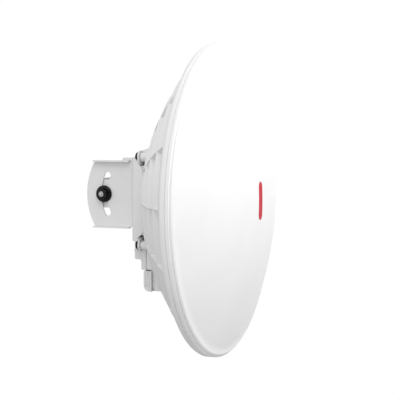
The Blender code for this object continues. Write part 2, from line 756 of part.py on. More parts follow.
def ear_outline(z, outward):
    """A tab with a round end at the bolt, seen from behind as (x, z)."""
    base = z - outward * 9.0 * MM
    turn = arc((BOLT_X, z), EAR_R, 0.0, outward * math.pi, 8)
    near, far = BOLT_X - EAR_R, BOLT_X + 7.6 * MM
    return turn + [(near, base), (far, base), (far, z - outward * 3.0 * MM)]


def back_plate_ears():
    """Four ears that step forward from the plate to the bosses."""
    swap = Matrix(((0, 1, 0, 0), (1, 0, 0, 0), (0, 0, 1, 0), (0, 0, 0, 1)))
    made = []
    for name, end, outward in (("upper", 0, 1.0), ("lower", 1, -1.0)):
        z, riser = BOLT_Z[end], RISER_Z[end]
        for side in (-1.0, 1.0):
            x0, x1 = sorted((side * (BOLT_X - EAR_R), side * (BOLT_X + 7.6 * MM)))
            z0, z1 = sorted((riser, riser - outward * SHEET_T))
            rear = PLATE_FRONT + SHEET_T / 2
            made.append(box(f"riser_{name}_{side:.0f}", (x0, EAR_FRONT, z0), (x1, rear, z1)))
            outline = [ear_outline(z, outward)]
            tab = plate(f"ear_{name}_{side:.0f}", outline, EAR_FRONT + SHEET_T / 2, SHEET_T / 2)
            tab.data.transform(swap)
            if side < 0.0:
                tab.data.transform(Matrix.Diagonal((-1.0, 1.0, 1.0, 1.0)))
            else:
                tab.data.flip_normals()
            made.append(tab)
    return made


def plate_lips():
    """The two forward lips of the back plate, with their front corners cut off."""
    outline = [
        (PLATE_FRONT + SHEET_T, PLATE_TOP),
        (99.4 * MM, PLATE_TOP),
        (LIP_FRONT, 39.2 * MM),
        (LIP_FRONT, -40.0 * MM),
        (99.4 * MM, PLATE_BOTTOM),
        (PLATE_FRONT + SHEET_T, PLATE_BOTTOM),
    ]
    middle = PLATE_HALF - SHEET_T / 2
    return [plate(f"lip_{side:.0f}", [outline], side * middle, SHEET_T / 2) for side in (-1.0, 1.0)]


def make_back_plate():
    rear = PLATE_FRONT + SHEET_T
    web = box(
        "back_plate",
        (0.1 * MM - PLATE_HALF, PLATE_FRONT, PLATE_BOTTOM + 0.1 * MM),
        (PLATE_HALF - 0.1 * MM, rear - 0.05 * MM, PLATE_TOP - 0.1 * MM),
    )
    inner_edge = BOLT_X - EAR_R
    outer_edge = PLATE_HALF - SHEET_T
    far = 80.0 * MM
    notches = mirrored_pair("notch_upper", (inner_edge, 95.0 * MM, RISER_Z[0]), (outer_edge, 110.0 * MM, far))
    notches += mirrored_pair("notch_lower", (inner_edge, 95.0 * MM, -far), (outer_edge, 110.0 * MM, RISER_Z[1]))
    combine_all(web, "DIFFERENCE", "plate_notches", under_dish(notches))
    combine_all(web, "UNION", "plate_folds", under_dish(back_plate_ears() + plate_lips()))
    holes = []
    for i, (x, z) in enumerate(bolt_places()):
        holes.append(prism(f"ear_hole_{i}", 3.3 * MM, (x, 90.0 * MM, z), REAR, 9.0 * MM))
    for i, (x, z) in enumerate(rivet_places()):
        holes.append(prism(f"plate_rivet_hole_{i}", 2.7 * MM, (x, 95.0 * MM, z), REAR, 20.0 * MM, 12))
    holes.append(prism("ground_hole", 2.4 * MM, (-15.0 * MM, 95.0 * MM, -44.0 * MM), REAR, 20.0 * MM, 12))
    combine_all(web, "DIFFERENCE", "plate_holes", under_dish(holes))
    finish_part(web, PAINTED_STEEL, 0.5, 0.0, DISH_FRAME)


def rivet_places():
    return [(x, z) for z in RIVET_Z for x in (-RIVET_X, RIVET_X)]


def make_rivets():
    """Four rivets that hold the wing channel on the back plate."""
    wing_rear = WING_FRONT + WING_T
    for i, (x, z) in enumerate(rivet_places()):
        profile = [
            (0.0, PLATE_FRONT - 1.8 * MM),
            (3.6 * MM, PLATE_FRONT - 1.8 * MM),
            (3.6 * MM, PLATE_FRONT - GAP),
            (2.4 * MM, PLATE_FRONT - GAP),
            (2.4 * MM, wing_rear + GAP),
            (4.6 * MM, wing_rear + GAP),
            (3.4 * MM, wing_rear + 1.9 * MM),
            (0.0, wing_rear + 2.3 * MM),
        ]
        rivet = turned(f"channel_rivet_{i + 1}", profile, (x, 0.0, z), steps=12)
        finish_part(rivet, STEEL, 0.4, 1.0, DISH_FRAME)


def make_ground_screw():
    rear = PLATE_FRONT + SHEET_T
    pan_screw("ground_screw", -15.0 * MM, -44.0 * MM, rear + GAP, 98.6 * MM, 4.0 * MM, 2.0 * MM, 2.6 * MM)


def make_wing_channel():
    """A channel whose sides carry the arc slots; their edges are turned outward top and bottom."""
    y, z = TILT_CENTRE.y, TILT_CENTRE.z
    reach = math.asin(WING_HALF_HEIGHT / WING_ARC_R)
    outline = arc((y, z), WING_ARC_R, -reach, reach, 10)
    outline += [(WING_FRONT, z + WING_HALF_HEIGHT), (WING_FRONT, z - WING_HALF_HEIGHT)]
    middle = WING_HALF - WING_T / 2
    slot = arc_slot((y, z), SLOT_R, SLOT_HALF_ANGLE - math.asin(SLOT_WIDTH / 2 / SLOT_R), SLOT_WIDTH)
    wings = [plate(f"wing_{side:.0f}", [outline, slot], side * middle, WING_T / 2) for side in (-1.0, 1.0)]
    nudge = 0.05 * MM
    top = z + WING_HALF_HEIGHT - nudge
    bottom = z - WING_HALF_HEIGHT + nudge
    inner = WING_HALF - WING_T / 2
    flange_front = WING_FRONT + 2 * nudge
    flanges = mirrored_pair("flange_top", (inner, flange_front, top - WING_T), (FLANGE_EDGE, FLANGE_REAR, top))
    low_corner = (FLANGE_EDGE, FLANGE_REAR, bottom + WING_T)
    flanges += mirrored_pair("flange_low", (inner, flange_front, bottom), low_corner)
    web = box(
        "wing_channel",
        (nudge - WING_HALF, WING_FRONT + nudge, z - WING_HALF_HEIGHT + 3 * nudge),
        (WING_HALF - nudge, WING_FRONT + WING_T, z + WING_HALF_HEIGHT - 3 * nudge),
    )
    combine_all(web, "UNION", "channel_folds", under_dish(wings + flanges))
    holes = [
        prism(f"web_rivet_hole_{i}", 2.7 * MM, (x, 95.0 * MM, zr), REAR, 20.0 * MM, 12)
        for i, (x, zr) in enumerate(rivet_places())
    ]
    combine_all(web, "DIFFERENCE", "channel_holes", under_dish(holes))
    finish_part(web, PAINTED_STEEL, 0.5, 0.0, DISH_FRAME)


def make_bracket_bolts():
    """Each corner has a bolt with a flanged hex head, a washer and a brass insert in the boss."""
    washer_front = EAR_FRONT + SHEET_T + GAP
    washer_rear = washer_front + 1.0 * MM
    seat = washer_rear + GAP
    for i, (x, z) in enumerate(bolt_places()):
        profile = [
            (0.0, 83.0 * MM),
            (2.6 * MM, 83.0 * MM),
            (2.6 * MM, seat),
            (6.2 * MM, seat),
            (6.2 * MM, seat + 1.2 * MM),
            (5.4 * MM, seat + 1.6 * MM),
            (0.0, seat + 1.6 * MM),
        ]
        bolt = turned(f"bracket_bolt_{i + 1}", profile, (x, 0.0, z), steps=18)
        head = prism(f"bolt_hex_{i}", 5.5 * MM, (x, seat + 1.0 * MM, z), REAR, 3.6 * MM, 6)
        combine(bolt, "UNION", under_dish([head]))
        finish_part(bolt, BLACK, 0.4, 0.6, DISH_FRAME)
        ring = [
            (7.2 * MM, washer_front),
            (7.2 * MM, washer_rear),
            (3.3 * MM, washer_rear),
            (3.3 * MM, washer_front),
        ]
        washer = turned(f"bracket_washer_{i + 1}", ring, (x, 0.0, z), steps=18, ring=True)
        finish_part(washer, STEEL, 0.4, 1.0, DISH_FRAME)
        sleeve = [
            (3.8 * MM, 80.0 * MM),
            (3.8 * MM, EAR_FRONT - 2 * GAP),
            (2.95 * MM, EAR_FRONT - 2 * GAP),
            (2.95 * MM, 80.0 * MM),
        ]
        insert = turned(f"boss_insert_{i + 1}", sleeve, (x, 0.0, z), steps=12, ring=True)
        finish_part(insert, BRASS, 0.3, 1.0, DISH_FRAME)


def make_mast_bracket():
    """A short channel inside the wings: its web rests on the mast, and bands pass through its four slots."""
    side_t = 2.5 * MM
    nudge = 0.05 * MM
    height = BRACKET_HALF_HEIGHT
    corner = 6.0 * MM
    outline = [(-nudge, -height), (-nudge, height)]
    outline += arc((-BRACKET_LENGTH + corner, height - corner), corner, math.pi / 2, math.pi, 4)
    outline += arc((-BRACKET_LENGTH + corner, corner - height), corner, math.pi, 1.5 * math.pi, 4)
    middle = BRACKET_HALF - side_t / 2
    sides = [plate(f"bracket_side_{side:.0f}", [outline], side * middle, side_t / 2) for side in (-1.0, 1.0)]
    key_outline = (
        arc((-TILT_DEPTH, 0.0), SLOT_R + KEY_HALF_WIDTH, -KEY_HALF_ANGLE, KEY_HALF_ANGLE, 4)
        + arc((-TILT_DEPTH, 0.0), SLOT_R - KEY_HALF_WIDTH, KEY_HALF_ANGLE, -KEY_HALF_ANGLE, 4)
    )
    key_half = 1.6 * MM
    key_middle = WING_HALF - 0.4 * MM - key_half
    keys = [plate(f"guide_key_{side:.0f}", [key_outline], side * key_middle, key_half) for side in (-1.0, 1.0)]
    web = box(
        "mast_bracket",
        (nudge - BRACKET_HALF, -side_t, nudge - height),
        (BRACKET_HALF - nudge, 0.0, height - nudge),
    )
    combine_all(web, "UNION", "bracket_folds", sides + keys)
    cuts = []
    wide, tall = BAND_SLOT
    for x in (-BAND_SLOT_X, BAND_SLOT_X):
        cuts.append(
            box(f"slot_{x:.3f}", (x - wide / 2, -10.0 * MM, -tall / 2), (x + wide / 2, 10.0 * MM, tall / 2))
        )
    across = Vector((1.0, 0.0, 0.0))
    cuts.append(prism("lock_hole", LOCK_HOLE_R, (-60.0 * MM, LOCK_Y, 0.0), across, 120.0 * MM, 20))
    combine_all(web, "DIFFERENCE", "bracket_cuts", cuts)
    finish_part(web, PAINTED_STEEL, 0.5, 0.0)


def make_lock_hardware():
    """On each side a bolt from inside, a cup washer on the wing and a hex nut."""
    for name, side in (("left", -1.0), ("right", 1.0)):
        outward = Vector((side, 0.0, 0.0))
        place = (0.0, LOCK_Y, 0.0)
        inside = BRACKET_HALF - 2.5 * MM - GAP
        bolt = [
            (0.0, inside - 3.4 * MM),
            (5.6 * MM, inside - 3.4 * MM),
            (7.2 * MM, inside - 1.8 * MM),
            (7.2 * MM, inside),
            (LOCK_SHANK_R, inside),
            (LOCK_SHANK_R, 56.6 * MM),
            (3.2 * MM, 57.4 * MM),
            (0.0, 57.4 * MM),
        ]
        finish_part(turned(f"lock_bolt_{name}", bolt, place, outward, 18), STEEL, 0.35, 1.0)
        seat = WING_HALF + GAP
        washer = [
            (10.8 * MM, seat),
            (10.8 * MM, seat + 2.0 * MM),
            (9.6 * MM, seat + 3.0 * MM),
            (LOCK_HOLE_R, seat + 3.0 * MM),
            (LOCK_HOLE_R, seat + 1.4 * MM),
            (8.8 * MM, seat + 1.4 * MM),
            (9.4 * MM, seat),
        ]
        finish_part(turned(f"cup_washer_{name}", washer, place, outward, 24, True), BLACK, 0.4, 0.3)
        nut_start = seat + 3.0 * MM + GAP
        nut = prism(f"lock_nut_{name}", 7.5 * MM, Vector(place) + outward * nut_start, outward, 6.5 * MM, 6)
        bore_start = Vector(place) + outward * 40.0 * MM
        bore = prism(f"nut_bore_{name}", LOCK_HOLE_R, bore_start, outward, 30.0 * MM, 18)
        combine(nut, "DIFFERENCE", [bore])
        finish_part(nut, BLACK, 0.4, 0.6)


make_radome()
make_rim_gasket()
make_feed()
make_cover()
make_cover_gasket()
make_cover_screws()
make_board()
make_cable_door()
make_back_plate()
make_rivets()
make_ground_screw()
make_wing_channel()
make_bracket_bolts()
make_mast_bracket()
make_lock_hardware()
make_dish()
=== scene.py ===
"""The looks of the outdoor wireless bridge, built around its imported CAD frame, in metres."""

import json
import math

import bmesh
import bpy
from mathutils import Matrix, Vector


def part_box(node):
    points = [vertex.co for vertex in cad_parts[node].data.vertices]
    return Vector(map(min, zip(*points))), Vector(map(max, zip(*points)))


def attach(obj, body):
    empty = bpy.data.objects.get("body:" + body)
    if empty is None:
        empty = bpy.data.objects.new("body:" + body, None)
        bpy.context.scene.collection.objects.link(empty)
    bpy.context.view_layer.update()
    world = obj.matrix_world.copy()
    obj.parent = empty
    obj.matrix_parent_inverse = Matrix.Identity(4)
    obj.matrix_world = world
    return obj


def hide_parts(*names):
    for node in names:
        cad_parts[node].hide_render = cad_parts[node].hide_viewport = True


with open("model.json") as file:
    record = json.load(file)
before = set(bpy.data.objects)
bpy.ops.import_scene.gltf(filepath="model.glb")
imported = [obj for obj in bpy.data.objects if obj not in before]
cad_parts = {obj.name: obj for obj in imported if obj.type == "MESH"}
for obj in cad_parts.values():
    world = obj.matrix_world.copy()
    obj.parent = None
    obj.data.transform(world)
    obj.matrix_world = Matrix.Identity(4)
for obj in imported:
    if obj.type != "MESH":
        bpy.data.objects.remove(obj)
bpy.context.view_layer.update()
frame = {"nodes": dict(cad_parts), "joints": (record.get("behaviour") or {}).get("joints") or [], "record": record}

MM = 0.001

RIM_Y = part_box("reflector_dish")[0].y
AXIS_Z = (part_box("radome")[0].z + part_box("radome")[1].z) / 2
DISH_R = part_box("radome")[1].x
DISH = Matrix.Translation((0.0, RIM_Y, AXIS_Z))

REAR = Vector((0.0, 1.0, 0.0))
DOWN = Vector((0.0, 0.0, -1.0))
UP = Vector((0.0, 0.0, 1.0))
LEFT = Vector((-1.0, 0.0, 0.0))
RIGHT = Vector((1.0, 0.0, 0.0))

# Driving sizes of the moulding, which the frame's solids follow too
REFLECTOR_VERTEX = 77.5 * MM
REFLECTOR_CURVE = 2.1
SHELL_T = 2.5 * MM
RIB_VERTEX = 93.9 * MM
RIB_CURVE = 2.3
RIB_COUNT = 16
RING_RADII = [172.0 * MM, 149.0 * MM, 126.0 * MM, 103.0 * MM]
SHOULDER_HALF = 44.0 * MM
SIDE_WALL_HALF = 51.0 * MM
HOUSING_HALF = 36.0 * MM
HOUSING_TOP = 64.0 * MM
HOUSING_BOTTOM = -90.0 * MM
MOULDING_WALL = 2.5 * MM

# Cutting tools reach this far, which is past every face they meet
PAST = 130.0 * MM
SIDE_REACH = 60.0 * MM

BOLTS = range(1, 5)

# The camera stands at the dish's left, a little in front and above, and looks along SIGHT
AZIMUTH, ELEVATION = math.radians(-69.76), math.radians(4.06)
SIGHT = -Vector(
    (
        math.sin(AZIMUTH) * math.cos(ELEVATION),
        -math.cos(AZIMUTH) * math.cos(ELEVATION),
        math.sin(ELEVATION),
    )
)


# ---- materials


def shader_of(material):
    return material.node_tree.nodes["Principled BSDF"]


def graph_of(made):
    """The nodes and links of a material or a world."""
    return made.node_tree.nodes, made.node_tree.links


def new_material(name, colour, roughness, metallic=0.0):
    """A Principled material whose plain values sit on the shader's own sockets."""
    made = bpy.data.materials.new(name)
    made.use_nodes = True
    shader = shader_of(made)
    shader.inputs["Base Color"].default_value = (*colour, 1.0)
    shader.inputs["Roughness"].default_value = roughness
    shader.inputs["Metallic"].default_value = metallic
    return made


def add_noise(material, scale, detail=4.0):
    """A noise texture in the piece's own space."""
    nodes, links = graph_of(material)
    place = nodes.get("place") or nodes.new("ShaderNodeTexCoord")
    place.name = "place"
    noise = nodes.new("ShaderNodeTexNoise")
    noise.inputs["Scale"].default_value = scale
    noise.inputs["Detail"].default_value = detail
    links.new(place.outputs["Object"], noise.inputs["Vector"])
    return noise.outputs["Fac"]


def ramp(material, value, low, high, first, last):
    """Maps a value between two limits onto two numbers."""
    nodes, links = graph_of(material)
    step = nodes.new("ShaderNodeMapRange")
    step.inputs["From Min"].default_value = low
    step.inputs["From Max"].default_value = high
    step.inputs["To Min"].default_value = first
    step.inputs["To Max"].default_value = last
    links.new(value, step.inputs["Value"])
    return step.outputs["Result"]


def mix(material, factor, first, second):
    """Mixes two colours, or a colour socket with a colour."""
    nodes, links = graph_of(material)
    step = nodes.new("ShaderNodeMix")
    step.data_type = "RGBA"
    links.new(factor, step.inputs["Factor"])
    for colour, socket in ((first, step.inputs["A"]), (second, step.inputs["B"])):
        if isinstance(colour, bpy.types.NodeSocket):
            links.new(colour, socket)
        else:
            socket.default_value = (*colour, 1.0)
    return step.outputs["Result"]


def vary(material, colour, other, scale, roughness, spread):
    """Mottles the colour and the roughness a little, as real surfaces are."""
    links = material.node_tree.links
    shader = shader_of(material)
    patches = ramp(material, add_noise(material, scale), 0.35, 0.65, 0.0, 1.0)
    links.new(mix(material, patches, colour, other), shader.inputs["Base Color"])
    low, high = roughness - spread, roughness + spread
    gloss = ramp(material, add_noise(material, scale * 3.0), 0.3, 0.7, low, high)
    links.new(gloss, shader.inputs["Roughness"])


def bump(material, height, strength, distance):
    nodes, links = graph_of(material)
    step = nodes.new("ShaderNodeBump")
    step.inputs["Strength"].default_value = strength
    step.inputs["Distance"].default_value = distance
    links.new(height, step.inputs["Height"])
    before = shader_of(material).inputs["Normal"]
    if before.links:
        links.new(before.links[0].from_socket, step.inputs["Normal"])
    links.new(step.outputs["Normal"], before)


def moulded_plastic(name, colour, other, roughness, grain=900.0, depth=0.02):
    """Outdoor plastic: a very fine spark-eroded grain, faint flow marks and a satin gloss."""
    made = new_material(name, colour, roughness)
    vary(made, colour, other, 18.0, roughness, 0.05)
    bump(made, add_noise(made, 25.0, 2.0), 0.05, 0.4 * MM)
    bump(made, add_noise(made, grain, 2.0), 0.35, depth * MM)
    shader_of(made).inputs["Specular IOR Level"].default_value = 0.45
    return made


def powder_coat(name, colour, other, roughness=0.42):
    """Powder coat on steel, with its orange-peel skin."""
    made = new_material(name, colour, roughness)
    vary(made, colour, other, 30.0, roughness, 0.06)
    bump(made, add_noise(made, 420.0, 3.0), 0.3, 0.05 * MM)
    return made


def plated(name, colour, other, roughness, scale=120.0):
    """Plated or bare metal, with tool marks and dull patches."""
    made = new_material(name, colour, roughness, 1.0)
    vary(made, colour, other, scale, roughness, 0.1)
    bump(made, add_noise(made, 1500.0, 2.0), 0.2, 0.02 * MM)
    return made


def black_coated(name):
    """Black coated fasteners, rubbed a little grey in places."""
    dark, rubbed, roughness = (0.003, 0.003, 0.003), (0.009, 0.009, 0.009), 0.34
    made = new_material(name, dark, roughness)
    vary(made, dark, rubbed, 220.0, roughness, 0.08)
    shader_of(made).inputs["Specular IOR Level"].default_value = 0.22
    bump(made, add_noise(made, 1100.0, 3.0), 0.35, 0.03 * MM)
    return made


def rubber(name, colour):
    roughness = 0.75
    made = new_material(name, colour, roughness)
    vary(made, colour, tuple(v * 1.7 for v in colour), 60.0, roughness, 0.08)
    bump(made, add_noise(made, 700.0, 3.0), 0.4, 0.05 * MM)
    return made


def circuit_board(name):
    """Green solder mask over copper tracks and pads."""
    made = new_material(name, (0.01, 0.09, 0.03), 0.35)
    nodes, links = graph_of(made)
    add_noise(made, 10.0)
    tracks = nodes.new("ShaderNodeTexBrick")
    tracks.inputs["Scale"].default_value = 160.0
    tracks.inputs["Mortar Size"].default_value = 0.03
    links.new(nodes["place"].outputs["Object"], tracks.inputs["Vector"])
    mask, copper = (0.01, 0.10, 0.035), (0.03, 0.20, 0.07)
    links.new(mix(made, tracks.outputs["Fac"], mask, copper), shader_of(made).inputs["Base Color"])
    bump(made, tracks.outputs["Fac"], 0.3, 0.05 * MM)
    return made


def clear_plastic(name):
    made = new_material(name, (0.9, 0.95, 0.93), 0.12)
    shader_of(made).inputs["Transmission Weight"].default_value = 0.85
    shader_of(made).inputs["IOR"].default_value = 1.49
    bump(made, add_noise(made, 300.0, 2.0), 0.1, 0.02 * MM)
    return made


def radome_white(name):
    """Smooth satin plastic, with one plain red upright bar painted at the middle of the front."""
    white = (0.87, 0.87, 0.87)
    made = moulded_plastic(name, white, (0.85, 0.85, 0.85), 0.45, 1400.0, 0.008)
    nodes, links = graph_of(made)
    split = nodes.new("ShaderNodeSeparateXYZ")
    links.new(nodes["place"].outputs["Object"], split.inputs["Vector"])

    def math_node(operation, first, second=0.0):
        step = nodes.new("ShaderNodeMath")
        step.operation = operation
        for i, value in enumerate((first, second)):
            if isinstance(value, bpy.types.NodeSocket):
                links.new(value, step.inputs[i])
            else:
                step.inputs[i].default_value = value
        return step.outputs["Value"]

    # Distance to a line segment, less the bar's half width: negative inside the bar
    half_line, half_width, edge = 17.0 * MM, 7.5 * MM, 0.25 * MM
    height = math_node("ABSOLUTE", math_node("SUBTRACT", split.outputs["Z"], AXIS_Z))
    over = math_node("MAXIMUM", math_node("SUBTRACT", height, half_line), 0.0)
    across = math_node("POWER", split.outputs["X"], 2.0)
    squares = math_node("ADD", across, math_node("POWER", over, 2.0))
    reach = math_node("SUBTRACT", math_node("SQRT", squares), half_width)
    inside = ramp(made, reach, -edge, edge, 1.0, 0.0)
    before_rim = ramp(made, split.outputs["Y"], RIM_Y - 12.0 * MM, RIM_Y - 10.0 * MM, 1.0, 0.0)
    mask = math_node("MULTIPLY", inside, before_rim)
    red = (0.55, 0.008, 0.03)
    base = shader_of(made).inputs["Base Color"]
    links.new(mix(made, mask, base.links[0].from_socket, red), base)
    return made


WHITE = (0.82, 0.82, 0.818)
MATERIALS = {
    "radome_white": radome_white("radome_white"),
    "dish_white": moulded_plastic("dish_white", WHITE, (0.80, 0.80, 0.798), 0.5),
    "bracket_paint": powder_coat("bracket_paint", (0.78, 0.78, 0.777), (0.76, 0.76, 0.757)),
    "black_fastener": black_coated("black_fastener"),
    "zinc_steel": plated("zinc_steel", (0.46, 0.47, 0.48), (0.36, 0.37, 0.38), 0.32),
    "brass": plated("brass", (0.72, 0.50, 0.20), (0.60, 0.40, 0.15), 0.3),
    "black_rubber": rubber("black_rubber", (0.02, 0.02, 0.021)),
    "circuit_green": circuit_board("circuit_green"),
    "feed_metal": plated("feed_metal", (0.75, 0.76, 0.77), (0.66, 0.67, 0.68), 0.28, 70.0),
    "feed_plastic": moulded_plastic("feed_plastic", (0.72, 0.69, 0.60), (0.68, 0.65, 0.56), 0.5),
    "thermal_pad": rubber("thermal_pad", (0.16, 0.18, 0.21)),
    "light_pipe": clear_plastic("light_pipe"),
    "button_black": moulded_plastic("button_black", (0.02, 0.02, 0.022), (0.03, 0.03, 0.032), 0.5),
}


# ---- shapes


def new_object(name, data):
    obj = bpy.data.objects.new(name, data)
    bpy.context.scene.collection.objects.link(obj)
    return obj


def piece(name, mesh, slot, body, replaces=(), place=None, sharp=32.0):
    """Turns a mesh into a finished piece that rides on a body of the frame."""
    if place is not None:
        mesh.transform(place)
    obj = new_object(name, mesh)
    mesh.materials.clear()
    mesh.materials.append(MATERIALS[slot])
    mesh.shade_smooth()
    mesh.set_sharp_from_angle(angle=math.radians(sharp))
    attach(obj, body)
    if replaces:
        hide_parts(*replaces)
    return obj


def to_mesh(shape, name):
    mesh = bpy.data.meshes.new(name)
    shape.to_mesh(mesh)
    shape.free()
    return mesh


def fillet(points, radius, steps=3, closed=False, keep=()):
    """Rounds the corners of a 2D line; corners whose number is in keep stay sharp."""
    made = []
    count = len(points)
    for i, corner in enumerate(points):
        corner = Vector(corner)
        if (not closed and i in (0, count - 1)) or i in keep:
            made.append(tuple(corner))
            continue
        before = Vector(points[i - 1]) - corner
        after = Vector(points[(i + 1) % count]) - corner
        turn = before.angle(after, math.pi)
        if turn > math.radians(178.0) or min(before.length, after.length) < 1e-7:
            made.append(tuple(corner))
            continue
        reach = min(radius / math.tan(turn / 2), before.length * 0.45, after.length * 0.45)
        first = corner + before.normalized() * reach
        last = corner + after.normalized() * reach
        for k in range(steps + 1):
            t = k / steps
            made.append(tuple(first * (1 - t) ** 2 + corner * 2 * t * (1 - t) + last * t * t))
    return made


def lathe(name, profile, steps=96, origin=(0.0, 0.0, 0.0), direction=REAR, ring=False):
    """Turns a line of (radius, distance along direction) about an axis; ring joins its two ends."""
    shape = bmesh.new()
    rows = []
    for radius, along in profile:
        if radius < 1e-7:
            rows.append([shape.verts.new((0.0, 0.0, -along))])
        else:
            angles = [2 * math.pi * i / steps for i in range(steps)]
            corners = [(radius * math.cos(a), radius * math.sin(a), -along) for a in angles]
            rows.append([shape.verts.new(corner) for corner in corners])
    pairs = list(zip(rows, rows[1:])) + ([(rows[-1], rows[0])] if ring else [])
    for upper, lower in pairs:
        for i in range(steps):
            j = (i + 1) % steps
            first, last = upper[i % len(upper)], upper[j % len(upper)]
            around = [first, lower[i % len(lower)], lower[j % len(lower)], last]
            corners = list(dict.fromkeys(around))
            if len(corners) > 2:
                shape.faces.new(corners)
    turn = DOWN.rotation_difference(direction).to_matrix().to_4x4()
    bmesh.ops.transform(shape, matrix=Matrix.Translation(Vector(origin)) @ turn, verts=shape.verts)
    bmesh.ops.recalc_face_normals(shape, faces=shape.faces)
    return to_mesh(shape, name)


def baked(obj):
    """The object's mesh with its modifiers applied; the object itself is removed."""
    graph = bpy.context.evaluated_depsgraph_get()
    mesh = bpy.data.meshes.new_from_object(obj.evaluated_get(graph))
    mesh.transform(obj.matrix_world)
    bpy.data.objects.remove(obj, do_unlink=True)
    return mesh


AXES = {
    "x": Matrix(((0, 0, 1, 0), (1, 0, 0, 0), (0, 1, 0, 0), (0, 0, 0, 1))),
    "y": Matrix(((1, 0, 0, 0), (0, 0, 1, 0), (0, 1, 0, 0), (0, 0, 0, 1))),
    "z": Matrix.Identity(4),
}


def slab(name, outlines, axis, low, high, edge=0.0, edge_steps=2):
    """A plate between two places on an axis, with rounded edges.

    Its outline is (y, z), (x, z) or (x, y) for the x, y or z axis.
    """
    curve = bpy.data.curves.new(name, "CURVE")
    curve.dimensions = "2D"
    curve.fill_mode = "BOTH"
    curve.extrude = (high - low) / 2 - edge
    curve.bevel_depth = edge
    curve.bevel_resolution = edge_steps
    curve.offset = -edge
    for outline in outlines:
        spline = curve.splines.new("POLY")
        spline.points.add(len(outline) - 1)
        for point, (a, b) in zip(spline.points, outline):
            point.co = (a, b, 0.0, 1.0)
        spline.use_cyclic_u = True
    obj = new_object(name, curve)
    bpy.context.view_layer.update()
    shape = bmesh.new()
    mesh = baked(obj)
    shape.from_mesh(mesh)
    bpy.data.meshes.remove(mesh)
    bmesh.ops.remove_doubles(shape, verts=shape.verts, dist=0.0005 * MM)
    lift = Matrix.Translation((0.0, 0.0, (low + high) / 2))
    bmesh.ops.transform(shape, matrix=AXES[axis] @ lift, verts=shape.verts)
    bmesh.ops.recalc_face_normals(shape, faces=shape.faces)
    return to_mesh(shape, name)


def block(name, low, high, edge=0.0, edge_steps=3):
    """A box with rounded edges."""
    low, high = Vector(low), Vector(high)
    shape = bmesh.new()
    place = Matrix.Translation((low + high) / 2) @ Matrix.Diagonal((*(high - low), 1.0))
    bmesh.ops.create_cube(shape, size=1.0, matrix=place)
    if edge:
        bmesh.ops.bevel(
            shape, geom=shape.edges[:], offset=edge, segments=edge_steps, profile=0.5, affect="EDGES"
        )
    return to_mesh(shape, name)


def rod(name, radius, origin, direction, length, sides=32):
    profile = [(0.0, 0.0), (radius, 0.0), (radius, length), (0.0, length)]
    return lathe(name, profile, sides, origin, direction)


def solid(first, joins=(), cuts=(), within=()):
    """Joins meshes, cuts others away, and keeps what lies within the rest."""
    obj = new_object(first.name, first)
    used = []
    for operation, meshes in (("UNION", joins), ("DIFFERENCE", cuts), ("INTERSECT", within)):
        for mesh in meshes:
            other = new_object(mesh.name, mesh)
            used.append(other)
            step = obj.modifiers.new(operation, "BOOLEAN")
            step.operation = operation
            step.solver = "EXACT"
            step.object = other
    bpy.context.view_layer.update()
    mesh = baked(obj)
    for other in used:
        bpy.data.objects.remove(other, do_unlink=True)
    return mesh


def offset_line(points, distance):
    """Moves an open 2D line sideways, to its left, with mitred corners."""
    made = []
    for i, point in enumerate(points):
        sides = []
        for a, b in ((i - 1, i), (i, i + 1)):
            if a >= 0 and b < len(points):
                run = (Vector(points[b]) - Vector(points[a])).normalized()
                sides.append(Vector((-run.y, run.x)))
        middle = sum(sides, Vector((0.0, 0.0))).normalized()
        made.append(tuple(Vector(point) + middle * distance / middle.dot(sides[0])))
    return made


def sheet_profile(points, thickness, inner_radius, steps=4):
    """The outline of a bent sheet: the points are its outer face, and the sheet lies to their right."""
    inner = offset_line(points, -thickness)
    outer_side, inner_side = [], []
    for line, made, is_outer in ((points, outer_side, True), (inner, inner_side, False)):
        for i in range(len(line)):
            if i in (0, len(line) - 1):
                made.append(tuple(line[i]))
                continue
            before = Vector(points[i]) - Vector(points[i - 1])
            after = Vector(points[i + 1]) - Vector(points[i])
            turns_right = before.x * after.y - before.y * after.x < 0.0
            radius = inner_radius + (thickness if turns_right == is_outer else 0.0)
            made += fillet([line[i - 1], line[i], line[i + 1]], radius, steps)[1:-1]
    return outer_side + inner_side[::-1]


def arc(centre, radius, first, last, count):
    a0, b0 = centre
    angles = [first + (last - first) * i / count for i in range(count + 1)]
    return [(a0 + radius * math.cos(a), b0 + radius * math.sin(a)) for a in angles]


def spread(first, last, count):
    return [first + (last - first) * i / count for i in range(count + 1)]


# ---- radome


def reflector_depth(radius):
    return REFLECTOR_VERTEX - REFLECTOR_CURVE * radius * radius


def rib_depth(radius):
    return RIB_VERTEX - RIB_CURVE * radius * radius


def make_radome():
    sphere, bulge, wall = 454.0 * MM, 51.0 * MM, 2.4 * MM
    centre = sphere - bulge
    gap = 0.15 * MM

    def dome(radius, ball):
        return centre - math.sqrt(ball * ball - radius * radius)

    outside = [(r, dome(r, sphere)) for r in spread(0.0, 190.5 * MM, 44)]
    edge = fillet(
        [
            (190.5 * MM, dome(190.5 * MM, sphere)),
            (195.6 * MM, -8.6 * MM),
            (197.9 * MM, -6.9 * MM),
            (197.2 * MM, -6.0 * MM),
            (198.0 * MM, -5.1 * MM),
            (DISH_R, -4.7 * MM),
            (DISH_R, -gap),
            (196.2 * MM, -gap),
            (196.2 * MM, 0.7 * MM),
            (190.6 * MM, 0.7 * MM),
            (190.6 * MM, dome(190.6 * MM, sphere - wall)),
        ],
        0.9 * MM,
        4,
    )
    inside = [(r, dome(r, sphere - wall)) for r in spread(188.0 * MM, 0.0, 24)]
    mesh = lathe("radome_shell", outside[:-1] + edge + inside, 288)
    piece("radome_shell", mesh, "radome_white", "head", ["radome"], DISH)


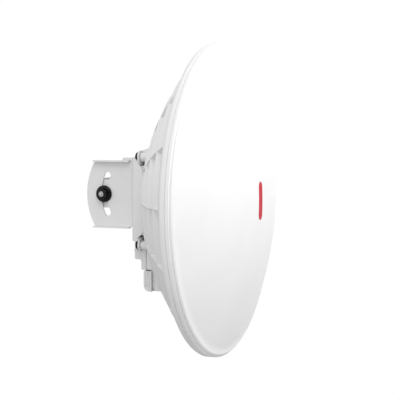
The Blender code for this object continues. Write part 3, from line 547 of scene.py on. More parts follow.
def make_rim_gasket():
    outer, inner, front, rear = 196.1 * MM, 191.5 * MM, 1.0 * MM, 2.7 * MM
    line = [(outer, front), (outer, rear), (inner, rear), (inner, front)]
    mesh = lathe("rim_seal", fillet(line, 0.5 * MM, 3, closed=True), 192, ring=True)
    piece("rim_seal", mesh, "black_rubber", "head", ["rim_gasket"], DISH)


# ---- dish


def make_dish_shell():
    hole, end = 13.6 * MM, 179.0 * MM
    lip = fillet(
        [
            (196.5 * MM, 0.0),
            (DISH_R, 0.0),
            (DISH_R, 4.6 * MM),
            (198.6 * MM, 7.2 * MM),
            (190.0 * MM, 11.2 * MM),
            (183.0 * MM, 14.3 * MM),
            (181.0 * MM, reflector_depth(181.0 * MM) + SHELL_T),
            (end, reflector_depth(end) + SHELL_T),
        ],
        1.2 * MM,
        4,
    )
    rear = [(r, reflector_depth(r) + SHELL_T) for r in spread(end - 3.0 * MM, hole, 36)]
    front = [(r, reflector_depth(r)) for r in spread(hole, end + 2.0 * MM, 36)]
    seat = [(189.5 * MM, 8.0 * MM), (190.0 * MM, 3.0 * MM), (196.5 * MM, 3.0 * MM)]
    mesh = lathe("dish_shell", lip + rear + front + seat, 288, ring=True)
    piece("dish_shell", mesh, "dish_white", "head", ["reflector_dish"], DISH)


def rib_section(half, foot, height):
    """Half widths and heights up one side of a rib, from its filleted foot to its round crest."""
    crest = half * 0.8
    return [
        (half + foot, -0.4 * MM),
        (half + foot * 0.5, foot * 0.2),
        (half + foot * 0.15, foot * 0.6),
        (half, foot * 1.1),
        (crest, height - crest * 0.7),
        (crest * 0.7, height - crest * 0.2),
        (crest * 0.25, height),
    ]


def rib_side(radius):
    """Where a rib's foot stands at a radius, and one side of its section there."""
    foot_y = reflector_depth(radius) + SHELL_T
    return foot_y, rib_section(0.95 * MM, 1.3 * MM, rib_depth(radius) - foot_y)


def make_radial_rib(index, start):
    """A rib swept out from the housing wall to the lip, as a grid of sections."""
    angle = 2 * math.pi * index / RIB_COUNT
    shape = bmesh.new()
    rows = []
    for radius in spread(start, 188.0 * MM, 30):
        foot_y, side = rib_side(radius)
        section = side + [(-w, h) for w, h in side[::-1]]
        rows.append([shape.verts.new((radius, foot_y + h, w)) for w, h in section])
    for first, last in zip(rows, rows[1:]):
        for i in range(len(first)):
            j = (i + 1) % len(first)
            shape.faces.new((first[i], first[j], last[j], last[i]))
    shape.faces.new(rows[0])
    shape.faces.new(rows[-1][::-1])
    bmesh.ops.recalc_face_normals(shape, faces=shape.faces)
    mesh = to_mesh(shape, f"radial_rib_{index + 1}")
    place = DISH @ Matrix.Rotation(-angle, 4, "Y")
    piece(f"radial_rib_{index + 1}", mesh, "dish_white", "head", place=place, sharp=50.0)


def make_ring_rib(index, radius):
    """A ring of rib, whose foot leans with the shell under it."""
    foot_y, side = rib_side(radius)
    slope = -2 * REFLECTOR_CURVE * radius
    section = side + [(-w, h) for w, h in side[::-1]]
    low = 2.5 * MM
    profile = [(radius + w, foot_y + h + (slope * w if h < low else 0.0)) for w, h in section]
    mesh = lathe(f"ring_rib_{index + 1}", profile, 240, ring=True)
    piece(f"ring_rib_{index + 1}", mesh, "dish_white", "head", place=DISH, sharp=50.0)


def bolt_places():
    """The four bracket bolts, in the dish's frame, with their numbers."""
    places = []
    for number in BOLTS:
        low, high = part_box(f"bracket_washer_{number}")
        middle = (low + high) / 2
        places.append((number, middle.x, middle.z - AXIS_Z))
    return places


def make_bosses():
    for number, x, z in bolt_places():
        foot = reflector_depth(math.hypot(x, z)) + 1.0 * MM
        radius, bore, top, bore_end = 5.8 * MM, 4.1 * MM, 93.2 * MM, 79.0 * MM
        profile = [(0.0, foot), (9.0 * MM, foot), (7.2 * MM, foot + 5.0 * MM)]
        profile += [(radius, foot + 9.0 * MM), (radius, top)]
        profile += [(bore, top), (bore, bore_end), (0.0, bore_end)]
        profile = fillet(profile, 0.6 * MM, 3)
        mesh = lathe(f"bolt_boss_{number}", profile, 64, (x, 0.0, z))
        piece(f"bolt_boss_{number}", mesh, "dish_white", "head", place=DISH)


def make_housing():
    """The turret, shoulders, side walls and cable tray, hollowed as in the frame."""
    half, wall, bottom, top = HOUSING_HALF, MOULDING_WALL, HOUSING_BOTTOM, HOUSING_TOP

    def turret(name, reach, low, front, rear, rises, edge):
        """A block through the dish whose top slopes up towards the front."""
        rear_top, front_top = top + rises[0], top + rises[1]
        line = [(front, low), (rear, low), (rear, rear_top), (front, front_top)]
        return slab(name, [fillet(line, 2.6 * MM, 5, closed=True)], "x", -reach, reach, edge, 3)

    rises = (1.5 * MM, 9.0 * MM)
    base = turret("housing_moulding", half, bottom, 62.0 * MM, 91.0 * MM, rises, 1.5 * MM)
    rises, low = (0.0, 8.0 * MM), -64.0 * MM
    shoulders = turret("shoulders", SHOULDER_HALF, low, 60.0 * MM, 90.0 * MM, rises, 1.4 * MM)
    tray_low, tray_high = (-33.0 * MM, 50.0 * MM, -117.5 * MM), (33.0 * MM, 81.4 * MM, -87.0 * MM)
    tray = block("tray", tray_low, tray_high, 1.5 * MM)
    rail_low, rail_high = (-31.2 * MM, 60.0 * MM, -115.2 * MM), (31.2 * MM, 87.5 * MM, -88.0 * MM)
    rail = block("rail", rail_low, rail_high, 0.8 * MM)
    inner = half - wall
    bowl_reach = 160.0 * MM
    face = [(r, reflector_depth(r) + SHELL_T / 2) for r in spread(bowl_reach, 0.0, 40)]
    bowl = lathe("bowl", [(0.0, -40.0 * MM), (bowl_reach, -40.0 * MM)] + face, 128)
    cuts = [
        block("cavity", (-inner, 80.5 * MM, -59.0 * MM), (inner, PAST, top - wall)),
        block("pocket", (-inner, 74.0 * MM, bottom + wall), (inner, PAST + MM, -58.0 * MM)),
        block("compartment", (-28.7 * MM, 66.0 * MM, -112.7 * MM), (28.7 * MM, PAST, bottom - wall)),
        block("cable_way", (-8.0 * MM, 74.0 * MM, -140.0 * MM), (8.0 * MM, PAST, -107.5 * MM)),
        block("jack_hole", (-8.4 * MM, 76.0 * MM, -96.0 * MM), (8.4 * MM, 88.8 * MM, -85.0 * MM)),
        rod("feed_hole", 13.6 * MM, (0.0, 60.0 * MM, 0.0), REAR, 40.0 * MM, 96),
        rod("button_hole", 2.1 * MM, (20.0 * MM, 83.0 * MM, -96.0 * MM), UP, 15.0 * MM),
        rod("light_hole", 1.9 * MM, (-20.0 * MM, 83.0 * MM, -96.0 * MM), UP, 15.0 * MM),
        bowl,
    ]
    sides = []
    tall, pocket_tall = 44.0 * MM, 41.5 * MM
    for side in (-1.0, 1.0):
        near, far = sorted((side * 39.0 * MM, side * SIDE_WALL_HALF))
        sides.append(block("side_wall", (near, 60.0 * MM, -tall), (far, 98.0 * MM, tall), 0.7 * MM))
        near, far = sorted((side * 38.0 * MM, side * (SIDE_WALL_HALF - wall)))
        cuts.append(block("pocket", (near, 76.0 * MM, -pocket_tall), (far, PAST, pocket_tall)))
    for _, x, z in bolt_places():
        cuts.append(rod("bore", 5.0 * MM, (x, 70.0 * MM, z), REAR, 60.0 * MM))
    mesh = solid(base, [shoulders, tray, rail] + sides, cuts)
    piece("housing_moulding", mesh, "dish_white", "head", place=DISH)


def make_dish():
    make_dish_shell()
    # Each radial rib starts a little inside the housing wall that it meets
    inside, least = 1.3 * MM, 0.01
    tray_end = 116.3 * MM
    for index in range(RIB_COUNT):
        angle = 2 * math.pi * index / RIB_COUNT
        across, up = abs(math.cos(angle)), math.sin(angle)
        half = 34.7 * MM if up < -0.8 else SHOULDER_HALF - inside
        if abs(up) < 0.5:
            half = SIDE_WALL_HALF - inside
        end = 62.7 * MM if up > 0.0 else 88.7 * MM
        start = min(half / max(across, least), end / max(abs(up), least))
        if up < -0.99:
            start = tray_end
        make_radial_rib(index, start)
    for index, radius in enumerate(RING_RADII):
        make_ring_rib(index, radius)
    make_bosses()
    make_housing()


# ---- housing covers


def cover_line(inset, front):
    """The rear cover seen from the side, with its deeper block under the bracket."""
    return [
        (front, 64.9 * MM - inset),
        (97.2 * MM - inset, 63.7 * MM - inset),
        (97.2 * MM - inset, -52.2 * MM - inset),
        (107.5 * MM - inset, -53.0 * MM - inset),
        (107.5 * MM - inset, -76.5 * MM + inset),
        (98.6 * MM - inset, -77.1 * MM + inset),
        (98.6 * MM - inset, HOUSING_BOTTOM + inset),
        (front, HOUSING_BOTTOM + inset),
    ]


def make_rear_cover():
    half, wall = HOUSING_HALF, 2.0 * MM
    skirt = 91.3 * MM
    outer = fillet(cover_line(0.0, skirt), 2.2 * MM, 4, closed=True, keep=(0, 7))
    shell = slab("rear_cover_shell", [outer], "x", -half, half, 1.3 * MM, 3)
    hollow = slab("hollow", [cover_line(wall, 86.0 * MM)], "x", wall - half, half - wall)
    flat = block("trim", (-half * 2, 80.0 * MM, -120.0 * MM), (half * 2, skirt, 90.0 * MM))
    sleeves, holes = [], []
    sleeve_front = 92.6 * MM
    for number in BOLTS:
        low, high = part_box(f"cover_screw_{number}")
        x, z = (low.x + high.x) / 2, (low.z + high.z) / 2 - AXIS_Z
        length = high.y - RIM_Y - 2.3 * MM - 93.6 * MM
        sleeves.append(rod(f"sleeve_{number}", 3.6 * MM, (x, sleeve_front, z), REAR, length))
        holes.append(rod(f"hole_{number}", 1.8 * MM, (x, 85.0 * MM, z), REAR, 40.0 * MM))
    shell = solid(shell, cuts=[hollow, flat])
    mesh = solid(shell, sleeves, holes)
    piece("rear_cover_shell", mesh, "dish_white", "head", ["rear_cover"], DISH)
    ring = []
    for reach in (half - wall - 0.2 * MM, half - wall - 1.6 * MM):
        top, bottom = 62.5 * MM - half + wall + reach, -88.5 * MM + half - wall - reach
        line = [(-reach, bottom), (reach, bottom), (reach, top), (-reach, top)]
        ring.append(fillet(line, 2.0 * MM, 4, closed=True))
    seal = slab("cover_seal", ring, "y", 91.2 * MM, 92.4 * MM)
    piece("cover_seal", seal, "black_rubber", "head", ["cover_gasket"], DISH)


def make_cable_door():
    """The sliding door with its round lower corner and upright grip grooves on both cheeks."""
    front, rear, top, bottom = 84.6 * MM, 95.7 * MM, -91.5 * MM, -118.2 * MM
    half, wall, radius = 35.0 * MM, 2.2 * MM, 8.0 * MM
    turn = (rear - radius, bottom + radius)
    outer = [(front, bottom)] + arc(turn, radius, -math.pi / 2, 0.0, 14) + [(rear, top), (front, top)]
    shell = slab("cable_door_shell", [outer], "x", -half, half, 1.0 * MM, 3)
    ahead = front - 10.0 * MM
    inner = [(ahead, bottom + wall)] + arc(turn, radius - wall, -math.pi / 2, 0.0, 10)
    inner += [(rear - wall, top + 10.0 * MM), (ahead, top + 10.0 * MM)]
    cuts = [
        slab("door_hollow", [inner], "x", wall - half, half - wall),
        block(
            "door_notch",
            (-8.0 * MM, ahead, bottom - 5.0 * MM),
            (8.0 * MM, rear - radius, bottom + 8.0 * MM),
        ),
    ]
    groove = 0.6 * MM
    for side in (-1.0, 1.0):
        for step in range(3):
            y = rear - 3.4 * MM - step * 2.4 * MM
            x0, x1 = sorted((side * (half - groove), side * (half + 2.0 * MM)))
            low, high = (x0, y - groove, bottom + 6.0 * MM), (x1, y + groove, top + 5.0 * MM)
            cuts.append(block("grip", low, high))
    piece("cable_door_shell", solid(shell, cuts=cuts), "dish_white", "cable_door", ["cable_door"], DISH)


# ---- sheet steel


def make_back_plate():
    """A plate with rounded bends along its forward lips, and four stepped ears."""
    front, thick, half = 100.7 * MM, 2.5 * MM, 55.0 * MM
    ear_near, ear_far, ear_front, rise = 36.6 * MM, 52.6 * MM, 93.5 * MM, 47.3 * MM
    low_rise = -49.3 * MM
    rear, lip_front = front + thick, 87.8 * MM
    top, bottom = 55.1 * MM, -51.3 * MM
    profile = sheet_profile(
        [(-half, lip_front), (-half, rear), (half, rear), (half, lip_front)], thick, 1.5 * MM, 5
    )
    base = slab("back_plate_sheet", [profile], "z", bottom, top)
    cuts = []
    for side in (-1.0, 1.0):
        x0, x1 = sorted((side * ear_near, side * (half - thick)))
        cuts.append(block("notch", (x0, 92.0 * MM, rise), (x1, 115.0 * MM, 80.0 * MM)))
        cuts.append(block("notch", (x0, 92.0 * MM, -80.0 * MM), (x1, 115.0 * MM, low_rise)))
    for level, far, end in ((top, 80.0 * MM, 39.2 * MM), (bottom, -80.0 * MM, -40.0 * MM)):
        chamfer = [(99.4 * MM, level), (99.4 * MM, far), (70.0 * MM, far)]
        chamfer += [(70.0 * MM, end), (lip_front, end)]
        cuts.append(slab("chamfer", [chamfer], "x", -half * 1.2, half * 1.2))
    base = solid(base, cuts=cuts)
    ears = []
    edge = 0.3 * MM
    for z, riser, out in ((55.0 * MM, rise, 1.0), (-57.0 * MM, low_rise, -1.0)):
        base_z = riser - out * thick
        z0, z1 = sorted((base_z, riser))
        for side in (-1.0, 1.0):
            x0, x1 = sorted((side * ear_near, side * ear_far))
            low, high = (x0, ear_front, z0), (x1, front + thick * 0.5, z1)
            ears.append(block("riser", low, high, edge, 2))
            line = arc((45.0 * MM, z), 8.4 * MM, 0.0, out * math.pi, 24)
            line += [(ear_near, base_z), (ear_far, base_z), (ear_far, z - out * 3.0 * MM)]
            line = [(side * x, level) for x, level in line]
            ears.append(slab("ear", [line], "y", ear_front, 96.0 * MM, edge, 2))
    holes = [rod("hole", 3.3 * MM, (x, 90.0 * MM, z), REAR, 9.0 * MM) for _, x, z in bolt_places()]
    drilled = [(f"channel_rivet_{number}", 2.7 * MM) for number in BOLTS] + [("ground_screw", 2.4 * MM)]
    for node, radius in drilled:
        low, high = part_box(node)
        origin = ((low.x + high.x) / 2, 95.0 * MM, (low.z + high.z) / 2 - AXIS_Z)
        holes.append(rod("hole", radius, origin, REAR, 20.0 * MM))
    mesh = solid(base, ears, holes)
    piece("back_plate_sheet", mesh, "bracket_paint", "head", ["back_plate"], DISH)


def arc_slot(centre, radius, half_angle, width):
    """The outline of a slot along an arc, with round ends."""
    half = width / 2
    y, z = centre
    ends = [(y + radius * math.cos(a), z + radius * math.sin(a)) for a in (half_angle, -half_angle)]
    return (
        arc(centre, radius + half, -half_angle, half_angle, 28)
        + arc(ends[0], half, half_angle, half_angle + math.pi, 14)[1:-1]
        + arc(centre, radius - half, half_angle, -half_angle, 28)
        + arc(ends[1], half, math.pi - half_angle, 2 * math.pi - half_angle, 14)[1:-1]
    )


TILT_PLACE = Vector(next(j for j in frame["joints"] if j["name"] == "tilt")["pos_m"])
TILT_YZ = (TILT_PLACE.y, TILT_PLACE.z)
SLOT_R = 62.0 * MM
LOCK_Y = TILT_YZ[0] + SLOT_R


def make_wing_channel():
    """A web with rounded bends into two wings, whose upper and lower edges turn outward."""
    low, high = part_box("wing_channel")
    half, thick = 45.0 * MM, 2.0 * MM
    front, rear, edge, tall = low.y, high.y, high.x, high.z
    turned = front + 9.0 * MM
    line = [(half, turned), (half, front), (-half, front), (-half, turned)]
    web_line = sheet_profile(line, thick, 1.2 * MM, 5)
    web = slab("wing_channel_sheet", [web_line], "z", thick - tall, tall - thick)
    reach = math.asin(tall / (rear - TILT_YZ[0]))
    outline = arc(TILT_YZ, rear - TILT_YZ[0], -reach, reach, 40)
    outline += [(front + 4.0 * MM, tall), (front + 4.0 * MM, -tall)]
    flange_rear = RIM_Y + 158.5 * MM
    # The slot's ends are round, so the middle of its arc stops short of them
    slot_angle = math.radians(26.5) - math.asin(4.15 / 62.0)
    slot = arc_slot(TILT_YZ, SLOT_R, slot_angle, 8.3 * MM)
    around = [(-0.2, -0.2), (-0.2, 0.2), (0.2, 0.2), (0.2, -0.2)]
    parts = []
    for side in (-1.0, 1.0):
        # From the upper flange's edge, down the wing's outer face, to the lower flange's edge
        face = side * (half - thick)
        line = [(side * edge, tall), (face, tall), (face, -tall), (side * edge, -tall)]
        if side > 0:
            line = line[::-1]
        wing = slab("wing", [sheet_profile(line, thick, 1.0 * MM, 5)], "y", front + 5.0 * MM, rear)
        outside = slab("outside", [around, outline], "x", -SIDE_REACH, SIDE_REACH)
        slot_cut = slab("slot", [slot], "x", -SIDE_REACH, SIDE_REACH)
        ends = []
        for level in (-1.0, 1.0):
            x0, x1 = sorted((side * (half + 1.4 * MM), side * (edge + 5.0 * MM)))
            z0, z1 = sorted((level * (tall - 4.0 * MM), level * (tall + 4.0 * MM)))
            ends.append(block("flange_end", (x0, flange_rear, z0), (x1, rear + 5.0 * MM, z1)))
        parts.append(solid(wing, cuts=[outside, slot_cut] + ends))
    rivets = []
    for number in BOLTS:
        a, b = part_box(f"channel_rivet_{number}")
        middle = (a + b) / 2
        rivets.append(rod("hole", 2.7 * MM, (middle.x, a.y - 5.0 * MM, middle.z), REAR, 30.0 * MM))
    mesh = solid(web, parts, rivets)
    piece("wing_channel_sheet", mesh, "bracket_paint", "head", ["wing_channel"])


def make_mast_bracket():
    """A shallow channel with band slots, a clamp hole through its sides and a key in each arc slot."""
    low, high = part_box("mast_bracket")
    thick, outer, tall = 2.5 * MM, 42.4 * MM, high.z
    line = [(-outer, low.y), (-outer, 0.0), (outer, 0.0), (outer, low.y)]
    profile = sheet_profile(line, thick, 1.5 * MM, 5)
    base = slab("mast_bracket_sheet", [profile], "z", -tall, tall)
    corner = 6.0 * MM
    behind, over, ahead = 5.0 * MM, tall + MM, low.y - MM
    side_line = [(behind, -tall - MM), (behind, over), (ahead, over), (ahead, -tall - MM)]
    inner_line = [(4.0 * MM, -tall), (4.0 * MM, tall)]
    inner_line += arc((low.y + corner, tall - corner), corner, math.pi / 2, math.pi, 8)
    inner_line += arc((low.y + corner, corner - tall), corner, math.pi, 1.5 * math.pi, 8)
    cuts = [slab("corners", [side_line, inner_line], "x", -SIDE_REACH, SIDE_REACH)]
    slot_end, slot_half = 7.8 * MM, 3.2 * MM
    for x in (-24.0 * MM, 24.0 * MM):
        ends = arc((x, slot_end), slot_half, 0.0, math.pi, 12)
        ends += arc((x, -slot_end), slot_half, math.pi, 2 * math.pi, 12)
        cuts.append(slab("band_slot", [ends], "y", -10.0 * MM, 10.0 * MM))
    cuts.append(rod("lock_hole", 4.3 * MM, (-SIDE_REACH, LOCK_Y, 0.0), RIGHT, 120.0 * MM, 48))
    half_angle, half_width = math.radians(5.6), 3.3 * MM
    key_line = arc(TILT_YZ, SLOT_R + half_width, -half_angle, half_angle, 12)
    key_line += arc(TILT_YZ, SLOT_R - half_width, half_angle, -half_angle, 12)
    keys = []
    for side in (-1.0, 1.0):
        near, far = sorted((side * 41.4 * MM, side * 44.6 * MM))
        keys.append(slab("key", [key_line], "x", near, far))
    mesh = solid(base, keys, cuts)
    piece("mast_bracket_sheet", mesh, "bracket_paint", "mast_side", ["mast_bracket"])


# ---- fasteners


def hex_prism(name, across_corners, origin, direction, length, chamfer):
    """A hexagonal head or nut, whose corners are turned off at both ends."""
    face = across_corners * math.cos(math.pi / 6) * 0.985
    side = across_corners * 1.01
    line = [(0.0, 0.0), (face, 0.0), (side, chamfer)]
    line += [(side, length - chamfer), (face, length), (0.0, length)]
    turned = lathe(name, line, 72, origin, direction)
    margin = 1.0 * MM
    low, high = -margin, length + margin
    flats = [(0.0, low), (across_corners, low), (across_corners, high), (0.0, high)]
    return solid(turned, within=[lathe("flats", flats, 6, origin, direction)])


def thread(name, radius, pitch, origin, direction, length):
    """A shank with a real helical thread, as a grid that climbs one pitch a turn."""
    shape = bmesh.new()
    sides, depth = 40, pitch * 0.5
    wave = [0.0, 0.35, 1.0, 0.85, 0.15]
    rows = int(length / pitch * len(wave))
    grid = []
    for row in range(rows + 1):
        ring = []
        for i in range(sides):
            angle = 2 * math.pi * i / sides
            phase = (row - len(wave) * i / sides) % len(wave)
            k = int(phase)
            cut = wave[k] * (k + 1 - phase) + wave[(k + 1) % len(wave)] * (phase - k)
            fade = min(1.0, (rows - row) / 3.0)
            r = radius - depth * cut * 0.6 - (1.0 - fade) * 0.5 * MM
            ring.append(shape.verts.new((r * math.cos(angle), r * math.sin(angle), length * row / rows)))
        grid.append(ring)
    for first, last in zip(grid, grid[1:]):
        for i in range(sides):
            j = (i + 1) % sides
            shape.faces.new((first[i], first[j], last[j], last[i]))
    shape.faces.new(grid[0][::-1])
    shape.faces.new(grid[-1])
    turn = UP.rotation_difference(direction).to_matrix().to_4x4()
    bmesh.ops.transform(shape, matrix=Matrix.Translation(Vector(origin)) @ turn, verts=shape.verts)
    bmesh.ops.recalc_face_normals(shape, faces=shape.faces)
    return to_mesh(shape, name)


def joined(name, meshes):
    """Several closed meshes in one piece."""
    shape = bmesh.new()
    for mesh in meshes:
        shape.from_mesh(mesh)
    return to_mesh(shape, name)


def make_bracket_bolts():
    """Domed flanged heads with a hexagon socket, and the washers under them."""
    shank_r, flange_r, crown_r, socket_r = 2.6 * MM, 6.2 * MM, 6.0 * MM, 2.3 * MM
    washer_r, washer_hole = 7.2 * MM, 3.3 * MM
    for number, x, z in bolt_places():
        low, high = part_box(f"bracket_bolt_{number}")
        a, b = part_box(f"bracket_washer_{number}")
        seat, top = b.y + 0.3 * MM, high.y - 0.9 * MM
        origin = (x, 0.0, z + AXIS_Z)
        line = [(0.0, low.y), (2.2 * MM, low.y), (shank_r, low.y + MM), (shank_r, seat), (flange_r, seat)]
        shank = fillet(line, 0.3 * MM, 3)
        rise = top - seat - 1.0 * MM
        turn = spread(0.0, math.pi / 2, 12)
        crown = [(crown_r * math.cos(a), top - rise + rise * math.sin(a)) for a in turn]
        crown[-1] = (0.0, top)
        body = lathe("head", shank + [(flange_r, seat + 0.8 * MM)] + crown, 72, origin)
        floor, past = top - 2.2 * MM, top + MM
        socket = [(0.0, floor), (socket_r, floor), (socket_r, past), (0.0, past)]
        mesh = solid(body, cuts=[lathe("socket", socket, 6, origin)])
        piece(f"corner_bolt_{number}", mesh, "black_fastener", "head", [f"bracket_bolt_{number}"])
        line = [(washer_r, a.y), (washer_r, b.y), (washer_hole, b.y), (washer_hole, a.y)]
        ring = fillet(line, 0.25 * MM, 3, closed=True)
        mesh = lathe("washer", ring, 72, origin, ring=True)
        piece(f"corner_washer_{number}", mesh, "black_fastener", "head", [f"bracket_washer_{number}"])


def make_lock_hardware():
    """On each side a clamp bolt with a pointed stud, a cup washer and a hexagonal nut."""
    place = Vector((0.0, LOCK_Y, 0.0))
    stud_r, pitch, head_r, bore_r = 3.9 * MM, 1.25 * MM, 7.2 * MM, 4.3 * MM
    for name, outward in (("left", LEFT), ("right", RIGHT)):
        low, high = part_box(f"lock_bolt_{name}")
        near, far = sorted((abs(low.x), abs(high.x)))
        inside = near + 3.4 * MM
        line = [(0.0, near), (5.6 * MM, near), (head_r, near + 1.8 * MM), (head_r, inside), (0.0, inside)]
        head = fillet(line, 0.5 * MM, 3)
        point = [(0.0, far - 2.6 * MM), (3.1 * MM, far - 2.6 * MM), (1.5 * MM, far - 0.2 * MM)]
        point += [(1.2 * MM, far), (0.0, far)]
        start = place + outward * (inside - 0.2 * MM)
        pieces = [
            lathe("bolt_head", head, 72, place, outward),
            thread("stud", stud_r, pitch, start, outward, far - inside - 1.6 * MM),
            lathe("point", point, 40, place, outward),
        ]
        mesh = joined("lock_stud", pieces)
        piece(f"lock_stud_{name}", mesh, "zinc_steel", "mast_side", [f"lock_bolt_{name}"])
        a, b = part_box(f"cup_washer_{name}")
        seat, crown = sorted((abs(a.x), abs(b.x)))
        cup = fillet(
            [
                (10.8 * MM, seat),
                (10.8 * MM, seat + 1.6 * MM),
                (9.2 * MM, crown),
                (bore_r, crown),
                (bore_r, seat + 1.4 * MM),
                (8.8 * MM, seat + 1.4 * MM),
                (9.4 * MM, seat),
            ],
            0.6 * MM,
            4,
            closed=True,
        )
        mesh = lathe("cup", cup, 96, place, outward, ring=True)
        piece(f"clamp_cup_{name}", mesh, "black_fastener", "mast_side", [f"cup_washer_{name}"])
        a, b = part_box(f"lock_nut_{name}")
        start, end = sorted((abs(a.x), abs(b.x)))
        nut = hex_prism("nut", 7.5 * MM, place + outward * start, outward, end - start, 0.9 * MM)
        mouth, lead = 5.0 * MM, 0.8 * MM
        line = [(0.0, start - MM), (mouth, start - MM), (bore_r, start + lead)]
        line += [(bore_r, end - lead), (mouth, end + MM), (0.0, end + MM)]
        mesh = solid(nut, cuts=[lathe("bore", line, 64, place, outward)])
        piece(f"clamp_nut_{name}", mesh, "black_fastener", "mast_side", [f"lock_nut_{name}"])


def make_rivets():
    tail_r, shank_r, dome_r, rise = 3.6 * MM, 2.4 * MM, 4.6 * MM, 2.0 * MM
    for number in BOLTS:
        low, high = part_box(f"channel_rivet_{number}")
        middle = (low + high) / 2
        front, seat = low.y, high.y - 2.3 * MM + 0.3 * MM
        turn = spread(0.0, math.pi / 2, 10)
        dome = [(dome_r * math.cos(a), seat + rise * math.sin(a)) for a in turn]
        dome[-1] = (0.0, high.y)
        tail = front + 1.5 * MM
        line = [(0.0, front), (tail_r, front), (tail_r, tail), (shank_r, tail), (shank_r, seat)]
        profile = fillet(line, 0.3 * MM, 3) + dome
        mesh = lathe("rivet", profile, 48, (middle.x, 0.0, middle.z))
        piece(f"dome_rivet_{number}", mesh, "zinc_steel", "head", [f"channel_rivet_{number}"])


def make_pan_screw(node, name, head_r, shank_r, head_t):
    """A cross-recessed pan-head screw in the place of its CAD node."""
    low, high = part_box(node)
    middle = (low + high) / 2
    origin = (middle.x, 0.0, middle.z)
    seat = high.y - head_t
    line = [(0.0, low.y), (shank_r * 0.7, low.y), (shank_r, low.y + shank_r), (shank_r, seat)]
    line += [(head_r, seat), (head_r, seat + head_t * 0.5), (head_r * 0.6, high.y), (0.0, high.y)]
    base = lathe(name, fillet(line, head_t * 0.25, 3), 40, origin)
    arm, slot, sunk = head_r * 0.55, head_r * 0.14, high.y - head_t * 0.6
    cuts = []
    for dx, dz in ((arm, slot), (slot, arm)):
        near, far = (middle.x - dx, sunk, middle.z - dz), (middle.x + dx, high.y + MM, middle.z + dz)
        cuts.append(block("cross", near, far))
    piece(name, solid(base, cuts=cuts), "zinc_steel", "head", [node])


def make_screws():
    make_rivets()
    make_pan_screw("ground_screw", "earth_screw", 4.0 * MM, 2.0 * MM, 2.6 * MM)
    for number in BOLTS:
        make_pan_screw(f"cover_screw_{number}", f"case_screw_{number}", 3.1 * MM, 1.45 * MM, 2.0 * MM)
        make_pan_screw(f"board_screw_{number}", f"pcb_screw_{number}", 2.3 * MM, 1.0 * MM, 1.5 * MM)


# ---- the rest


def repaint(slots):
    """CAD nodes whose shape is right keep it and get the finished material."""
    for entry in frame["record"]["subparts"]:
        node = frame["nodes"][entry["node"]]
        if node.hide_render:
            continue
        node.data.materials.clear()
        node.data.materials.append(slots[entry["material_slot"]])


def make_stage():
    """A plain round floor, well under the object."""
    radius, top, under = 1.3, -0.60, -0.62
    profile = [(0.0, under), (radius, under), (radius, top), (0.0, top)]
    floor = new_object("floor", lathe("floor", profile, 128, direction=UP))
    pale, roughness = (0.50, 0.50, 0.50), 0.9
    paint = new_material("studio_floor", pale, roughness)
    vary(paint, pale, (0.48, 0.48, 0.48), 3.0, roughness, 0.03)
    floor.data.materials.append(paint)


# Strengths of the studio's light from below, from above, from the camera's side and behind the object
LOW_LIGHT = 0.3
TOP_LIGHT = 0.62
FILL_LIGHT = 0.32
BACKDROP = 1.02


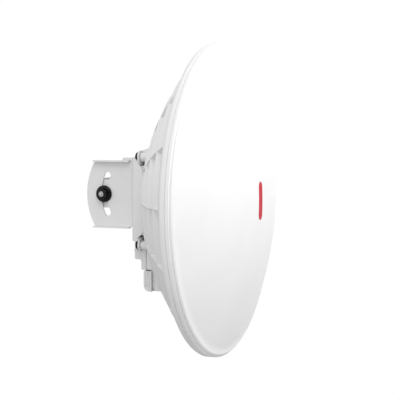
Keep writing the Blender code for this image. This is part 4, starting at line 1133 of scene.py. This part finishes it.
def make_world():
    """A studio: white behind the object, dimmer below, with some fill from the camera's side."""
    world = bpy.data.worlds.new("studio")
    bpy.context.scene.world = world
    world.use_nodes = True
    nodes, links = graph_of(world)
    nodes["Background"].inputs["Color"].default_value = (1.0, 1.0, 1.0, 1.0)
    place = nodes.new("ShaderNodeTexCoord")
    along = nodes.new("ShaderNodeVectorMath")
    along.operation = "DOT_PRODUCT"
    along.inputs[1].default_value = SIGHT
    links.new(place.outputs["Generated"], along.inputs[0])
    split = nodes.new("ShaderNodeSeparateXYZ")
    links.new(place.outputs["Generated"], split.inputs["Vector"])

    def span(value, low, high, first, last):
        step = nodes.new("ShaderNodeMapRange")
        step.interpolation_type = "SMOOTHSTEP"
        for socket, number in zip(step.inputs[1:5], (low, high, first, last)):
            socket.default_value = number
        links.new(value, step.inputs["Value"])
        return step.outputs["Result"]

    backdrop = span(along.outputs["Value"], 0.82, 0.965, 0.0, 1.0)
    overhead = span(split.outputs["Z"], -0.55, 0.35, LOW_LIGHT, TOP_LIGHT)
    fill = span(along.outputs["Value"], -1.0, -0.3, FILL_LIGHT, 0.0)
    around = nodes.new("ShaderNodeMath")
    links.new(overhead, around.inputs[0])
    links.new(fill, around.inputs[1])
    blend = nodes.new("ShaderNodeMix")
    blend.inputs["B"].default_value = BACKDROP
    links.new(backdrop, blend.inputs["Factor"])
    links.new(around.outputs["Value"], blend.inputs["A"])
    links.new(blend.outputs["Result"], nodes["Background"].inputs["Strength"])


def make_light(name, place, target, size, power):
    """A round soft light, its width in metres and its power in watts."""
    lamp = bpy.data.lights.new(name, "AREA")
    lamp.shape = "DISK"
    lamp.size = size
    lamp.energy = power
    obj = new_object(name, lamp)
    obj.location = place
    obj.rotation_mode = "QUATERNION"
    obj.rotation_quaternion = (Vector(target) - Vector(place)).to_track_quat("-Z", "Y")


def make_camera():
    distance = 1.5166
    target = Vector((0.0, RIM_Y + 30.93 * MM, AXIS_Z - 0.98 * MM))
    lens = bpy.data.cameras.new("camera")
    lens.sensor_width = 36.0
    lens.lens = 105.93
    lens.clip_start = 0.05
    obj = new_object("camera", lens)
    obj.location = target - SIGHT * distance
    obj.rotation_mode = "QUATERNION"
    obj.rotation_quaternion = SIGHT.to_track_quat("-Z", "Y")
    bpy.context.scene.camera = obj


make_camera()
make_stage()
make_world()
make_light("key", (0.3, -1.25, 0.75), (0.0, -0.15, 0.0), 0.9, 13.0)
make_light("side", (-1.1, -0.5, 1.2), (0.0, -0.1, 0.0), 1.0, 6.5)
make_light("rear", (-1.1, 0.75, 0.1), (0.0, -0.05, 0.0), 0.8, 1.6)
make_radome()
make_rim_gasket()
make_dish()
make_rear_cover()
make_cable_door()
make_back_plate()
make_wing_channel()
make_mast_bracket()
make_bracket_bolts()
make_lock_hardware()
make_screws()
repaint(MATERIALS)
bpy.context.scene.view_settings.view_transform = "Standard"
